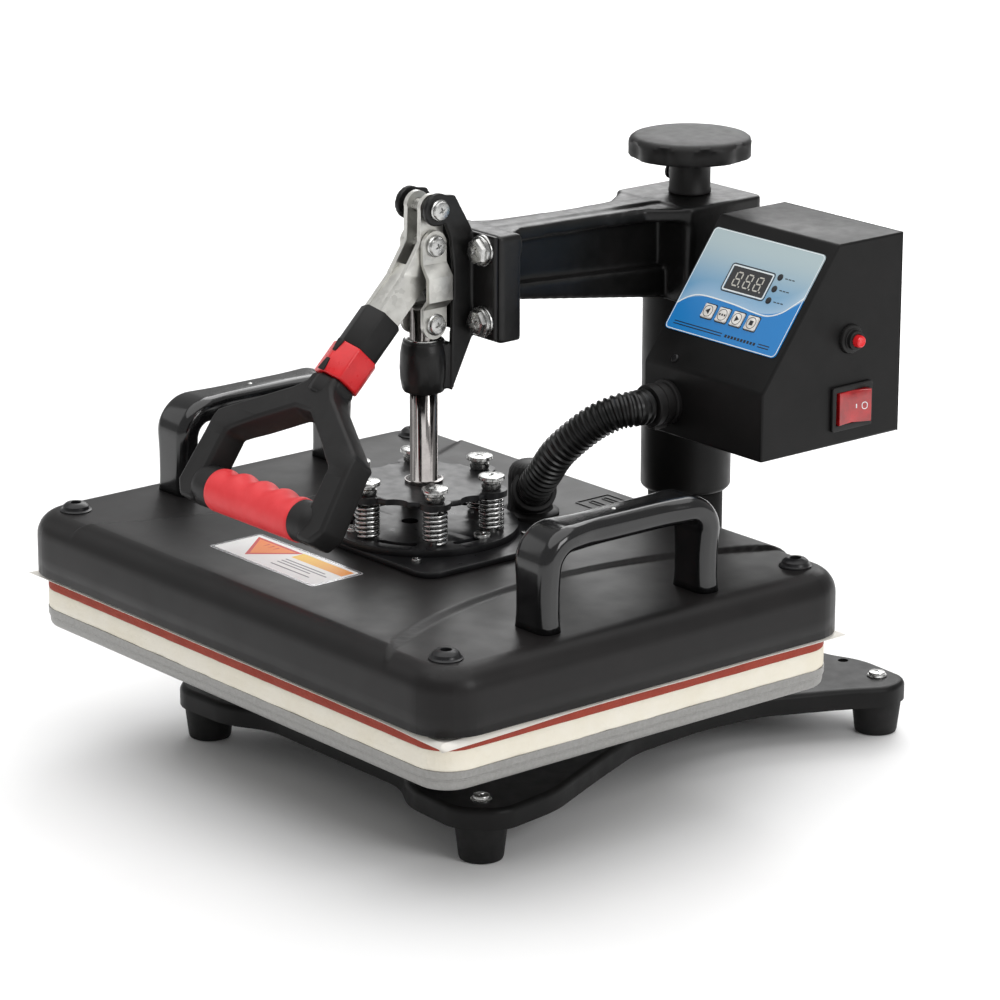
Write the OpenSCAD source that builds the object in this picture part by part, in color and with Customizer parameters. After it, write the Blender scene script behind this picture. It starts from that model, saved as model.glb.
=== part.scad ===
// Swing-away heat press: a sprung, electrically heated upper platen on a toggle-clamp arm,
// closed onto a padded lower platen. Shown clamped shut.
// X runs to the operator's right, Y runs back to the column, Z is up from the bench.

/* [Upper platen] */
// Width of the platen cover, side to side
cover_w = 395; // [394:1:398]
// Depth of the platen cover, front to back
cover_d = 298; // [297:1:300]
// Height of the cover's side wall and shoulder
cover_h = 33; // [32:1:34]
// Radius of the cover's corners in plan
cover_corner_r = 27; // [24:1:30]
// Radius of the cover's top edges
cover_edge_r = 14; // [12:1:16]
// Thickness of the pressed steel cover
cover_t = 2; // [1.5:0.5:2.5]
// Rise of the middle of the cover between its two arched steps
crown_h = 2; // [1.5:0.5:2.5]
// Radius of the arched steps in plan
crown_arc_r = 272; // [260:2:290]
// Least half width between the arched steps
crown_half_w = 104; // [100:1:108]
// Thickness of the cast heating platen
heater_t = 14; // [12:1:15]

/* [Lower platen] */
// Width of the lower platen and its pads
platen_w = 381; // [379:1:383]
// Depth of the lower platen and its pads
platen_d = 288; // [286:1:289]
// Radius of the pads' corners
pad_corner_r = 20; // [16:1:22]
// Height of the lower platen's underside above the bench
tray_z = 72; // [70:1:74]
// Thickness of the pressed lower platen
tray_h = 11.5; // [10:0.5:12.5]
// Thickness of the foam pad
foam_t = 11.5; // [10:0.5:12.5]
// Thickness of the silicone rubber pad
silicone_t = 7; // [6:0.5:8]
// Thickness of the loose release sheet
sheet_t = 0.5; // [0.3:0.1:0.6]

/* [Base] */
// Height of the base plate's top face above the bench
base_top = 34; // [33:1:35]
// Depth of the base plate's turned-down edge
base_flange_h = 12; // [10:1:14]
// Thickness of the base plate
base_t = 2.5; // [2:0.5:3]
// Half the distance between the front feet
front_foot_x = 127; // [125:1:129]
// Half the distance between the rear feet
rear_foot_x = 117; // [115:1:119]
// Place of the front feet, from the platen's centre
front_foot_y = -65; // [-67:1:-63]
// Place of the rear feet, from the platen's centre
rear_foot_y = 248; // [246:1:250]
// Radius of a rubber foot at the top
foot_r = 15; // [14:0.5:16]
// Half the distance between the two bench holes
bench_hole_x = 84; // [82:1:86]
// Radius of a bench hole
bench_hole_r = 3.25; // [3:0.25:3.5]

/* [Column and arm] */
// Distance from the platen's centre back to the column
column_y = 198; // [196:1:200]
// Radius of the fixed post
post_r = 22.5; // [22:0.5:23]
// Outer radius of the swinging sleeve
sleeve_r = 27; // [26.5:0.5:27.5]
// Wall of the swinging sleeve
sleeve_wall = 3; // [3:0.5:3.5]
// Height of the sleeve's lower end
sleeve_z = 135; // [130:1:140]
// Height of the hub's underside
hub_z = 257; // [255:1:259]
// Height of the hub's top
hub_top = 315; // [314:1:316]
// Half width of the hub, side to side
hub_half_w = 33; // [32:1:34]
// Radius of the lead screw
screw_r = 8; // [7.5:0.5:8]
// Radius of the pressure knob
knob_r = 36.5; // [35:0.5:38]
// Number of finger hollows around the knob
knob_hollows = 9; // [7:1:10]

/* [Toggle clamp] */
// Offset of the plunger's axis from the platen's centre
plunger_y = -3; // [-4:1:-2]
// Height of the toggle's fixed pivot
pivot_top_z = 335.7; // [335:0.1:336]
// Distance from the fixed pivot to the middle pivot
crank = 21.1; // [20.5:0.1:21.5]
// Distance from the middle pivot to the plunger's pivot
link = 45.3; // [45:0.1:46]
// Radius of the pivot pins
pin_r = 4; // [3.5:0.25:4]
// Radius of the plunger
plunger_r = 8; // [7.5:0.25:8]
// Angle of the hand lever below the horizontal
lever_angle = 44.5; // [44:0.5:45]

/* [Spring head] */
// Height of the star plate's top face
star_z = 175; // [174:0.5:176]
// Radius of the circle of spring bolts
bolt_circle_r = 41; // [40:0.5:42]
// Number of spring bolts
bolt_count = 6; // [6:1:6]
// Outer radius of a spring
spring_r = 7; // [6.5:0.25:7]
// Radius of the spring wire
wire_r = 0.9; // [0.8:0.1:1]

/* [Control box] */
// Left side of the control box
box_x0 = 56; // [55:1:57]
// Width of the control box
box_w = 99; // [98:1:100]
// Front face of the control box, from the platen's centre
box_y0 = 114; // [113:1:115]
// Depth of the control box
box_d = 107; // [106:1:108]
// Height of the control box's underside
box_z0 = 199; // [198:1:200]
// Thickness of the sheet-metal walls
box_t = 1.5; // [1.2:0.1:1.8]

/* [Hidden] */
$fn = 64;

// The origin is on the bench, under the middle of the whole press.
platen_y = -57;
fit_gap = 0.05;
foot_boss_r = 10.5;
face_gap = 0.2;

// Heights of the stack between the two platens
foam_z = tray_z + tray_h;
tray_wall = 2.5;
pedestal_top = foam_z - tray_wall;
silicone_z = foam_z + foam_t;
sheet_z = silicone_z + silicone_t;
heater_z = sheet_z + sheet_t + face_gap;
cover_z = heater_z + 5.3;
cover_top = cover_z + cover_h;
crown_z = cover_top + crown_h;
sheet_w = platen_w + 6;
sheet_d = platen_d + 4;

// Heights of the spring head
square_t = 3.5;
round_z = crown_z + square_t;
round_t = 4;
round_top = round_z + round_t;
round_r = 54;
star_t = 3.5;
bolt_head_z = star_z + 8.5;
bolt_shank_r = 3.5;
cover_screw_x = 172;
cover_screw_y = 126;
grip_gap_h = 57;
handle_x = 165;
handle_leg_y = 57;
handle_bend_r = 15;
handle_w = 26;
handle_t = 15;

// The column and the arm
post_top = 292;
hub_d = 59;
hub_y0 = column_y - 30;
hub_ceiling = 300;
sleeve_in_r = sleeve_r - sleeve_wall;
arm_plate_y = 24;
arm_plate_t = 16;
arm_plate_half_w = 35;
arm_plate_z = 258;
arm_plate_h = 62;
frame_flange_t = 3;
frame_bolt_x = 24;
frame_half_w = 34;
washer_r = 9;
frame_bolt_zs = [270, 311];
knob_z = 337;
knob_h = 13;

// The toggle, with its plates in layers outward from the plunger
pivot_mid_z = pivot_top_z - crank;
pivot_low_z = pivot_mid_z - link;
lever_x = 4.5;
lever_t = 3;
link_x = 8;
link_t = 2.5;
web_x = 11;
web_t = 3;
barrel_z = 229;
barrel_h = 30;
barrel_r = 12;
// The hand lever's own frame starts on its axis, just under the middle pivot.
lever_start = [0, plunger_y, pivot_mid_z - 8];
bar_len = 57;
socket_at = 43;
socket_len = 25;
collar_len = 21;
grip_r = 12.5;
fork_half_w = 55;
corner_half_w = 58;
fork_at = [-98, 213];
corner_at = [-118, 183];
neck_at = [-74, 235];

// The control box's sloping panel
slope_y0 = box_y0;
slope_z0 = box_z0 + 39.5;
slope_top_y = box_y0 + 57;
box_top = box_z0 + 117;
slope_angle = atan2(box_top - slope_z0, slope_top_y - slope_y0);
overlay_w = 92;
overlay_h = 66;
overlay_at = [104.5, 55];
overlay_t = 0.6;
display_at = [103.5, 61];
lamp_x = 125.3;
lamp_ys = [53.6, 61, 68.5];
key_xs = [86, 98, 110, 122];
key_y = 38;
key_size = 8.6;
breaker_at = [181, 260];
rocker_at = [182.5, 220.5];
rocker_size = [31, 26];
rocker_pin_r = 1.5;
rocker_pin_z = -2;

// The flexible conduit, from the elbow on the cover to the gland on the control box
elbow_at = [6, 71];
elbow_r = 12.5;
elbow_bore_r = 7.5;
elbow_top = 175;
outlet_turn = -30;
outlet_rise = 35;
outlet_z = 152;
outlet_len = 17;
hose_r = 10.3;
gland_x = 76;
gland_z = 218;
hose_route = [[19.1, 63.4, 162.6], [25.5, 59.7, 167.8], [34, 58, 176], [46, 59.5, 192], [60, 70, 208],
    [70, 80, 216], [75.6, 90, 218], [76, 98.2, 218]];
hose_sides = 12;
hose_steps = 5;

module placed() translate([0, platen_y, 0]) children();
module at_column() translate([0, column_y, 0]) children();
module at_plunger() translate([0, plunger_y, 0]) children();
module four(x, y) for (sx = [-1, 1], sy = [-1, 1]) translate([sx * x, sy * y, 0]) children();
module both_sides() { children(); mirror([1, 0, 0]) children(); }

// A rectangle with round corners, centred
module rounded_rect(w, d, r) {
    square([w - 2 * r, d], center = true);
    square([w, d - 2 * r], center = true);
    for (sx = [-1, 1], sy = [-1, 1]) translate([sx * (w / 2 - r), sy * (d / 2 - r)]) circle(r);
}

module slab(w, d, h, r) linear_extrude(h) rounded_rect(w, d, r);

// A cylinder whose axis runs along X, centred on the origin
module along_x(r, length) rotate([0, 90, 0]) cylinder(r = r, h = length, center = true);

// A cylinder whose axis runs towards -Y, starting at the origin
module to_front(r, length) rotate([90, 0, 0]) cylinder(r = r, h = length);

// A half section with a rounded top edge, from the axis out to half_w
module edge_profile(half_w, h, edge_r) {
    square([half_w - edge_r, h]);
    square([half_w, h - edge_r]);
    translate([half_w - edge_r, h - edge_r]) circle(edge_r);
}

// A block with vertical corners of radius corner_r and top edges of radius edge_r
module pillow(w, d, h, corner_r, edge_r) {
    four(w / 2 - corner_r, d / 2 - corner_r) rotate_extrude() intersection() {
        edge_profile(corner_r, h, edge_r);
        square([corner_r, h]);
    }
    rotate([90, 0, 90]) linear_extrude(w - 2 * corner_r, center = true) full_profile(d, h, edge_r);
    rotate([90, 0, 0]) linear_extrude(d - 2 * corner_r, center = true) full_profile(w, h, edge_r);
}

module full_profile(w, h, edge_r) {
    edge_profile(w / 2, h, edge_r);
    mirror([1, 0]) edge_profile(w / 2, h, edge_r);
}

// A hexagon-headed fastener along +Z, with its head's underside at the origin
module hex_bolt(head_r, head_h, shank_r, length) {
    cylinder(r = head_r, h = head_h, $fn = 6);
    translate([0, 0, -length]) cylinder(r = shank_r, h = length);
}

module dome_screw(head_r, head_h, shank_r, length) {
    cylinder(r = head_r, h = head_h * 0.5);
    translate([0, 0, head_h * 0.5]) cylinder(r1 = head_r, r2 = head_r * 0.7, h = head_h * 0.5);
    translate([0, 0, -length]) cylinder(r = shank_r, h = length);
}

// ---- Base ----

// Half of the base plate's outline: broad at the feet and waisted between them
base_outline = [[0, -69], [60, -69], [86, -84], [130, -86], [149, -66], [143, -24], [120, 28], [103, 70],
    [98, 124], [102, 166], [124, 214], [139, 240], [131, 261], [90, 264], [66, 254], [0, 254]];

module base_outline_2d(inset) offset(delta = -inset) {
    polygon(base_outline);
    mirror([1, 0]) polygon(base_outline);
}

module feet_places() {
    both_sides() translate([front_foot_x, front_foot_y, 0]) children();
    both_sides() translate([rear_foot_x, rear_foot_y, 0]) children();
}

module base_plate() color("#1c1c1e") placed() difference() {
    translate([0, 0, base_top - base_flange_h]) linear_extrude(base_flange_h) base_outline_2d(0);
    translate([0, 0, base_top - base_flange_h - 1]) linear_extrude(base_flange_h - base_t + 1)
        base_outline_2d(base_t);
    feet_places() cylinder(r = 3, h = base_top + 1);
    both_sides() translate([bench_hole_x, rear_foot_y + 4, 0]) cylinder(r = bench_hole_r, h = base_top + 1);
    at_column() four(26, 26) cylinder(r = 3.6, h = base_top + 1);
    four(24, 24) cylinder(r = 3.1, h = base_top + 1);
}

module rubber_feet() color("#141414") placed() feet_places() difference() {
    union() {
        cylinder(r1 = foot_r - 2.5, r2 = foot_r, h = base_top - base_flange_h - face_gap);
        cylinder(r = foot_boss_r, h = base_top - base_t);
    }
    translate([0, 0, 12]) cylinder(r = 2.6, h = base_top);
}

module base_screws() color("#9a9a9c") placed() {
    feet_places() translate([0, 0, base_top]) dome_screw(5, 3, 2.5, 20);
    at_column() four(26, 26) translate([0, 0, base_top + 8]) hex_bolt(6.5, 5, 3.5, 8 + base_t);
    four(24, 24) translate([0, 0, base_top + 5]) hex_bolt(5.5, 4, 3, 5 + base_t);
}

module column_post() color("#232325") placed() at_column() difference() {
    union() {
        translate([0, 0, base_top]) slab(82, 82, 8, 8);
        translate([0, 0, base_top]) cylinder(r = post_r, h = post_top - base_top);
    }
    translate([0, 0, base_top - 1]) four(26, 26) cylinder(r = 3.6, h = 20);
    translate([0, 0, 225]) cylinder(r = screw_r + 0.1, h = 100);
}

module platen_pedestal() color("#1c1c1e") placed() difference() {
    union() {
        translate([0, 0, base_top]) slab(76, 76, 5, 8);
        translate([0, 0, base_top]) cylinder(r = 15, h = pedestal_top - base_top);
        translate([0, 0, pedestal_top - 5]) slab(150, 30, 5, 6);
        translate([0, 0, pedestal_top - 5]) slab(30, 110, 5, 6);
    }
    translate([0, 0, base_top - 1]) four(24, 24) cylinder(r = 3.1, h = 10);
}

// ---- Lower platen and its pads ----

module lower_platen() color("#9b9b9b") placed() translate([0, 0, tray_z]) difference() {
    union() {
        slab(platen_w - 6, platen_d - 6, 4, pad_corner_r - 3);
        translate([0, 0, 4]) slab(platen_w, platen_d, tray_h - 4, pad_corner_r);
    }
    translate([0, 0, -1]) slab(platen_w - 12, platen_d - 12, tray_h - tray_wall + 1, pad_corner_r - 6);
}

module foam_pad() color("#e8e2d2") placed() translate([0, 0, foam_z])
    slab(platen_w, platen_d, foam_t, pad_corner_r);

module silicone_pad() color("#8e2f22") placed() translate([0, 0, silicone_z])
    slab(platen_w, platen_d, silicone_t, pad_corner_r);

module release_sheet() color("#efece4") placed() translate([0, 0, sheet_z])
    slab(sheet_w, sheet_d, sheet_t, 3);

// ---- Column sleeve, arm and knob ----

module lift_bearing() color("#b8b8ba") placed() at_column() translate([0, 0, post_top + face_gap])
    difference() {
        cylinder(r = 20, h = hub_ceiling - post_top - 2 * face_gap);
        translate([0, 0, -1]) cylinder(r = screw_r + 0.3, h = 20);
    }

module sleeve_tube() color("#29292b") placed() at_column() translate([0, 0, sleeve_z]) difference() {
    union() {
        cylinder(r1 = sleeve_r - 2, r2 = sleeve_r, h = 2);
        translate([0, 0, 2]) cylinder(r = sleeve_r, h = hub_ceiling - sleeve_z - 2);
    }
    translate([0, 0, -1]) cylinder(r = sleeve_in_r, h = 200);
}

module sleeve_bushes() color("#c9a25a") placed() at_column() for (z = [sleeve_z + 1, 252])
    translate([0, 0, z]) difference() {
        cylinder(r = sleeve_in_r, h = 34);
        translate([0, 0, -1]) cylinder(r = post_r + fit_gap, h = 40);
    }

module arm_side(half_w, profile) rotate([90, 0, 90]) linear_extrude(2 * half_w, center = true)
    polygon(profile);

module arm_casting() color("#202022") placed() difference() {
    union() {
        translate([0, hub_y0 + hub_d / 2, hub_z]) slab(2 * hub_half_w, hub_d, hub_top - hub_z, 5);
        translate([-arm_plate_half_w, arm_plate_y, arm_plate_z])
            cube([2 * arm_plate_half_w, arm_plate_t, arm_plate_h]);
        arm_side(6, [[arm_plate_y + 1, 279], [hub_y0 + 1, 258], [hub_y0 + 1, 315.5], [arm_plate_y + 1, 318.5]]);
        arm_side(13, [[arm_plate_y + 1, 279], [hub_y0 + 1, 258], [hub_y0 + 1, 277], [arm_plate_y + 1, 286]]);
    }
    at_column() cylinder(r = sleeve_r, h = hub_ceiling);
    at_column() cylinder(r = screw_r + 0.3, h = hub_top + 1);
    for (z = frame_bolt_zs) both_sides() translate([frame_bolt_x, arm_plate_y + 12, z]) to_front(4, 20);
}

module lead_screw() color("#a9a9ab") placed() at_column() translate([0, 0, 232])
    cylinder(r = screw_r, h = knob_z + knob_h - 4 - 232);

module pressure_knob() color("#1e1e20") placed() at_column() difference() {
    union() {
        translate([0, 0, hub_top + face_gap]) cylinder(r = 12.5, h = knob_z - hub_top);
        translate([0, 0, knob_z]) cylinder(r = knob_r, h = knob_h - 3);
        translate([0, 0, knob_z + knob_h - 3]) cylinder(r1 = knob_r, r2 = knob_r - 5, h = 3);
    }
    for (i = [0 : knob_hollows - 1]) rotate(i * 360 / knob_hollows + 12)
        translate([knob_r + 9, 0, knob_z - 1]) cylinder(r = 12, h = knob_h + 2);
    cylinder(r = screw_r, h = knob_z + knob_h - 4);
    translate([0, 0, 325]) rotate([0, -90, 0]) cylinder(r = 2, h = 20);
}

module knob_set_screw() color("#111112") placed() at_column() translate([-screw_r - 0.2, 0, 325])
    rotate([0, -90, 0]) {
        cylinder(r = 2, h = 7);
        translate([0, 0, 4.6]) cylinder(r = 4.5, h = 1.5);
        translate([0, 0, 6]) cylinder(r = 2.5, h = 1.5);
        translate([0, 0, 7.5]) cylinder(r = 4.5, h = 1.5);
    }

// ---- Toggle clamp ----

// A plate in the plane of the toggle, centred on x, from a 2-D shape drawn as [y, z]
module toggle_plate(x, t) translate([x - t / 2, plunger_y, 0]) rotate([90, 0, 90]) linear_extrude(t) children();

// One side web: an ear around the fixed pivot, and a back that runs down to the guide barrel
module web_shape() {
    translate([0, pivot_top_z]) circle(9.5);
    polygon([[-2, pivot_top_z + 9.2], [12, pivot_top_z + 7], [24, 322], [24, 259], [9, 229], [9.5, 262],
        [11, 300], [9, 318], [5, 327.5]]);
}

module toggle_frame() color("#1a1a1c") placed() difference() {
    union() {
        both_sides() toggle_plate(web_x + web_t / 2, web_t) web_shape();
        translate([-frame_half_w, arm_plate_y - frame_flange_t, 260]) cube([2 * frame_half_w, frame_flange_t, 60]);
        at_plunger() translate([0, 0, barrel_z]) cylinder(r = barrel_r, h = barrel_h);
        translate([-web_x - 1, plunger_y + 6, barrel_z + 2]) cube([2 * web_x + 2, 7, barrel_h - 4]);
    }
    at_plunger() translate([0, 0, barrel_z - 1]) cylinder(r = plunger_r + fit_gap, h = barrel_h + 2);
    at_plunger() translate([0, 0, pivot_top_z]) along_x(pin_r + fit_gap, 60);
    for (z = frame_bolt_zs) both_sides() translate([frame_bolt_x, arm_plate_y + 1, z]) to_front(4, 20);
}

module frame_bolts() color("#b4b4b4") placed() for (z = frame_bolt_zs) both_sides()
    translate([frame_bolt_x, arm_plate_y - frame_flange_t, z]) rotate([90, 0, 0]) {
        cylinder(r = washer_r, h = 1.6);
        translate([0, 0, 1.6]) cylinder(r = washer_r - 1, h = 1.4);
        translate([0, 0, 3]) hex_bolt(7.5, 4.5, 3.9, 17);
    }

// A rivet across the toggle whose heads bear on faces at +x and -x
module pivot_rivet(z, x) at_plunger() translate([0, 0, z]) {
    along_x(pin_r, 2 * x);
    both_sides() translate([x, 0, 0]) rotate([0, 90, 0]) {
        cylinder(r = 6, h = 1);
        translate([0, 0, 1]) cylinder(r1 = 5.4, r2 = 3.4, h = 2);
    }
}

module pivot_pin_top() color("#c4c4c4") placed() pivot_rivet(pivot_top_z, web_x + web_t);
module pivot_pin_middle() color("#c4c4c4") placed() pivot_rivet(pivot_mid_z, link_x + link_t + face_gap);

// The lever's plate: round the two pivots, then along the slanting bar
module lever_shape() {
    hull() {
        translate([0, pivot_top_z]) circle(8);
        translate([0, pivot_mid_z]) circle(8.5);
    }
    hull() {
        translate([0, pivot_mid_z]) circle(8.5);
        translate([0, pivot_mid_z - 7]) circle(7);
        translate([-12, pivot_mid_z - 18]) circle(8.5);
    }
    translate([0, pivot_mid_z - 8]) rotate(180 + lever_angle) translate([8, -8.5]) square([bar_len, 17]);
}

module lever_plates() color("#b9b9b7") placed() difference() {
    both_sides() toggle_plate(lever_x + lever_t / 2, lever_t) lever_shape();
    for (z = [pivot_top_z, pivot_mid_z]) at_plunger() translate([0, 0, z]) along_x(pin_r + fit_gap, 60);
}

// A link plate's end: a round eye with a straight shank of the given length
module link_eye(z, to_z) difference() {
    toggle_plate(link_x + link_t / 2, link_t) {
        translate([0, z]) circle(8.5);
        translate([-8.5, min(z, to_z)]) square([17, abs(to_z - z)]);
    }
    at_plunger() translate([0, 0, z]) along_x(pin_r + fit_gap, 60);
}

// The bulge is a joggled strap, seen edge on as [x, z]
module link_bulge() at_plunger() rotate([90, 0, 0]) linear_extrude(17, center = true) polygon([
    [link_x, pivot_mid_z - 10], [link_x + link_t, pivot_mid_z - 10], [link_x + 8, pivot_mid_z - 17],
    [link_x + 8, pivot_mid_z - 31], [link_x + link_t, pivot_mid_z - 36], [link_x, pivot_mid_z - 36],
    [link_x + 5, pivot_mid_z - 30], [link_x + 5, pivot_mid_z - 18]]);

module link_plates() color("#b9b9b7") placed() both_sides() {
    link_eye(pivot_mid_z, pivot_mid_z - 10);
    link_bulge();
    link_eye(pivot_low_z, pivot_low_z + 9.5);
}

// The lower pivot is two short rivets, one in each link plate
module link_rivets() color("#c4c4c4") placed() at_plunger() translate([0, 0, pivot_low_z]) both_sides()
    translate([link_x, 0, 0]) rotate([0, 90, 0]) {
        cylinder(r = pin_r, h = link_t);
        translate([0, 0, link_t]) cylinder(r = 6, h = 1);
        translate([0, 0, link_t + 1]) cylinder(r1 = 5.4, r2 = 3.4, h = 2);
    }

module plunger_shaft() color("#c8c8ca") placed() at_plunger() difference() {
    union() {
        translate([0, 0, star_z - star_t - 8]) cylinder(r = 6, h = 30);
        translate([0, 0, star_z - star_t - 7]) cylinder(r = 10.5, h = 7, $fn = 6);
        translate([0, 0, star_z]) cylinder(r = 11, h = 2);
        translate([0, 0, star_z]) cylinder(r = plunger_r, h = pivot_low_z + 8 - star_z);
    }
    translate([7.6, -20, pivot_low_z - 9]) cube([10, 40, 40]);
    translate([-17.6, -20, pivot_low_z - 9]) cube([10, 40, 40]);
    translate([0, 0, pivot_low_z]) along_x(pin_r + fit_gap, 60);
}

// ---- Hand lever ----

// Puts its children in a frame whose +X runs out along the lever's bar
module along_lever() translate(lever_start) rotate([0, 0, -90]) rotate([0, lever_angle, 0]) children();

module handle_socket() color("#202021") placed() along_lever() translate([socket_at, 0, 0]) difference() {
    rotate([0, 90, 0]) slab(20, 22, socket_len, 4);
    for (y = [lever_x - 0.1, -lever_x - lever_t - 0.1]) translate([-1, y, -8.6])
            cube([bar_len + 9 - socket_at + 1, lever_t + 0.2, 17.2]);
}

module handle_collar() color("#d8262c") placed() along_lever() translate([socket_at + socket_len, 0, 0])
    rotate([0, 90, 0]) slab(23, 27, collar_len, 5);

module bead(at, r) translate(at) sphere(r, $fn = 20);

// One side of the open frame: from the neck to the fork's bend and down to the grip's end
module frame_side() {
    hull() { bead([6, neck_at[0], neck_at[1]], 9); bead([fork_half_w, fork_at[0], fork_at[1]], 8); }
    hull() { bead([fork_half_w, fork_at[0], fork_at[1]], 8); bead([corner_half_w, corner_at[0], corner_at[1]], 10); }
}

module handle_frame() color("#1d1d1e") placed() {
    frame_side();
    mirror([1, 0, 0]) frame_side();
    hull() {
        along_lever() translate([socket_at + socket_len + collar_len, 0, 0]) rotate([0, 90, 0])
            slab(20, 24, 1, 5, $fn = 24);
        bead([0, neck_at[0], neck_at[1]], 10);
    }
    both_sides() translate([48, corner_at[0], corner_at[1]]) along_x(11, 20);
}

module handle_grip() color("#e03a3e") placed() translate([0, corner_at[0], corner_at[1]]) union() {
    along_x(grip_r - 0.5, 75.8);
    for (x = [-28 : 19 : 29]) translate([x, 0, 0]) rotate([0, 90, 0])
        rotate_extrude() translate([grip_r - 5, 0]) circle(5);
}

// ---- Spring head ----

module at_bolts() at_plunger() for (i = [0 : bolt_count - 1]) rotate(30 + i * 360 / bolt_count)
    translate([bolt_circle_r, 0, 0]) children();

module star_shape() difference() {
    union() {
        circle(bolt_circle_r + 1);
        for (i = [0 : bolt_count - 1]) rotate(30 + i * 360 / bolt_count) translate([bolt_circle_r, 0]) circle(9);
    }
    for (i = [0 : bolt_count - 1]) rotate(i * 360 / bolt_count) translate([bolt_circle_r + 7, 0]) circle(9.5);
}

module star_plate() color("#1b1b1d") placed() difference() {
    at_plunger() translate([0, 0, star_z - star_t]) linear_extrude(star_t) star_shape();
    at_plunger() translate([0, 0, star_z - 10]) cylinder(r = 6, h = 20);
    at_bolts() translate([0, 0, star_z - 10]) cylinder(r = bolt_shank_r + 0.1, h = 20);
}

// Each spring's envelope, between the two plates
module springs() color("#c9c9cb") placed() at_bolts() translate([0, 0, round_top]) difference() {
    cylinder(r = spring_r, h = star_z - star_t - round_top);
    translate([0, 0, -1]) cylinder(r = spring_r - 2 * wire_r, h = star_z);
}

module spring_bolts() color("#cfcfd0") placed() at_bolts() {
    translate([0, 0, round_top - round_t]) cylinder(r = bolt_shank_r, h = bolt_head_z - round_top + round_t);
    translate([0, 0, star_z + 0.4]) cylinder(r = 5.5, h = 4.5, $fn = 24);
    translate([0, 0, bolt_head_z - 3.2]) cylinder(r1 = 5.5, r2 = 7.6, h = 1.4, $fn = 24);
    translate([0, 0, bolt_head_z - 1.8]) cylinder(r = 7.6, h = 1.8, $fn = 24);
}

module round_plate() color("#1b1b1d") placed() difference() {
    at_plunger() translate([0, 0, round_z]) cylinder(r = round_r, h = round_t, $fn = 96);
    at_bolts() translate([0, 0, round_z - 1]) cylinder(r = bolt_shank_r, h = round_t + 2);
    translate([-7.5, -7.4, round_z - 1]) cylinder(r = 5, h = round_t + 2);
    for (turn = [-60, 0, 60, 120, 180, 240]) at_plunger() rotate(turn - 13) curved_slot(round_z - 1, round_t + 2);
}

// A slot that follows the plate's rim through 26 degrees
module curved_slot(z, h) translate([0, 0, z]) {
    rotate_extrude(angle = 26) translate([40.6, 0]) square([4.8, h]);
    for (turn = [0, 26]) rotate(turn) translate([43, 0, 0]) cylinder(r = 2.5, h = h, $fn = 24);
}

module square_plate() color("#1b1b1d") placed() at_plunger() difference() {
    translate([0, 0, crown_z]) slab(138, 106, square_t, 12);
    four(43, 40) translate([0, 0, crown_z - 1]) cylinder(r = 2.1, h = square_t + 2);
}

module head_screws() color("#c0c0c0") placed() {
    at_plunger() four(43, 40) translate([0, 0, round_z]) dome_screw(2.8, 1.2, 2, square_t);
    for (turn = [-120, 0, 120]) at_plunger() rotate(turn + 11) translate([43, 0, round_top]) dome_screw(5, 2.4, 2.2, round_t);
    four(cover_screw_x, cover_screw_y) translate([0, 0, cover_top]) dome_screw(8.6, 5, 3, 12);
}

// ---- Heated upper platen ----

module crown_shape() difference() {
    square([2 * crown_half_w + 70, cover_d - 2 * cover_edge_r - 2], center = true);
    for (sx = [-1, 1]) translate([sx * (crown_half_w + crown_arc_r), 0]) circle(crown_arc_r, $fn = 128);
}

module cover_shell() color("#2a2a2c") placed() difference() {
    union() {
        translate([0, 0, cover_z]) pillow(cover_w, cover_d, cover_h, cover_corner_r, cover_edge_r);
        translate([0, 0, cover_top - 1]) linear_extrude(crown_h + 1) crown_shape();
    }
    translate([0, 0, cover_z - 1]) pillow(cover_w - 2 * cover_t, cover_d - 2 * cover_t, cover_h - cover_t + 1,
        cover_corner_r - cover_t, cover_edge_r - cover_t);
    four(cover_screw_x, cover_screw_y) translate([0, 0, cover_z]) cylinder(r = 3.1, h = 60);
    translate([elbow_at[0], elbow_at[1], cover_z]) cylinder(r = 8, h = 60);
}

module cover_posts() color("#8d8d8f") placed() four(cover_screw_x, cover_screw_y)
    translate([0, 0, heater_z + heater_t]) difference() {
        cylinder(r = 7, h = cover_top - cover_t - heater_z - heater_t);
        translate([0, 0, 5]) cylinder(r = 3.1, h = 30);
    }

module handle_section() rounded_rect(handle_t, handle_w, 6);

// A carrying handle: two legs, two bends and a bar along Y
module carry_handle() {
    bar_z = crown_z - crown_h + grip_gap_h - handle_t / 2;
    bend_y = handle_leg_y - handle_bend_r;
    for (side = [0, 1]) mirror([0, side, 0]) {
        translate([0, handle_leg_y, cover_top]) linear_extrude(bar_z - handle_bend_r - cover_top)
            rotate(90) handle_section();
        translate([0, bend_y, bar_z - handle_bend_r]) rotate([90, 0, 90]) rotate_extrude(angle = 90)
            translate([handle_bend_r, 0]) handle_section();
    }
    translate([0, 0, bar_z]) rotate([90, 0, 0]) linear_extrude(2 * bend_y, center = true) rotate(90) handle_section();
}

module carry_handles() color("#161617") placed() for (sx = [-1, 1]) translate([sx * handle_x, 0, 0]) carry_handle();

element_xs = 130;
element_ys = [-90, -30, 30, 90];
element_r = 4;
module element_path(r) translate([0, 0, heater_z + heater_t - 3]) {
    for (y = element_ys) translate([0, y, 0]) along_x(r, 2 * element_xs);
    for (i = [0 : 2]) translate([(i % 2 == 0 ? 1 : -1) * element_xs, element_ys[i] + 30, 0])
        rotate(i % 2 == 0 ? -90 : 90) rotate_extrude(angle = 180) translate([30, 0]) circle(r);
}

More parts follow.
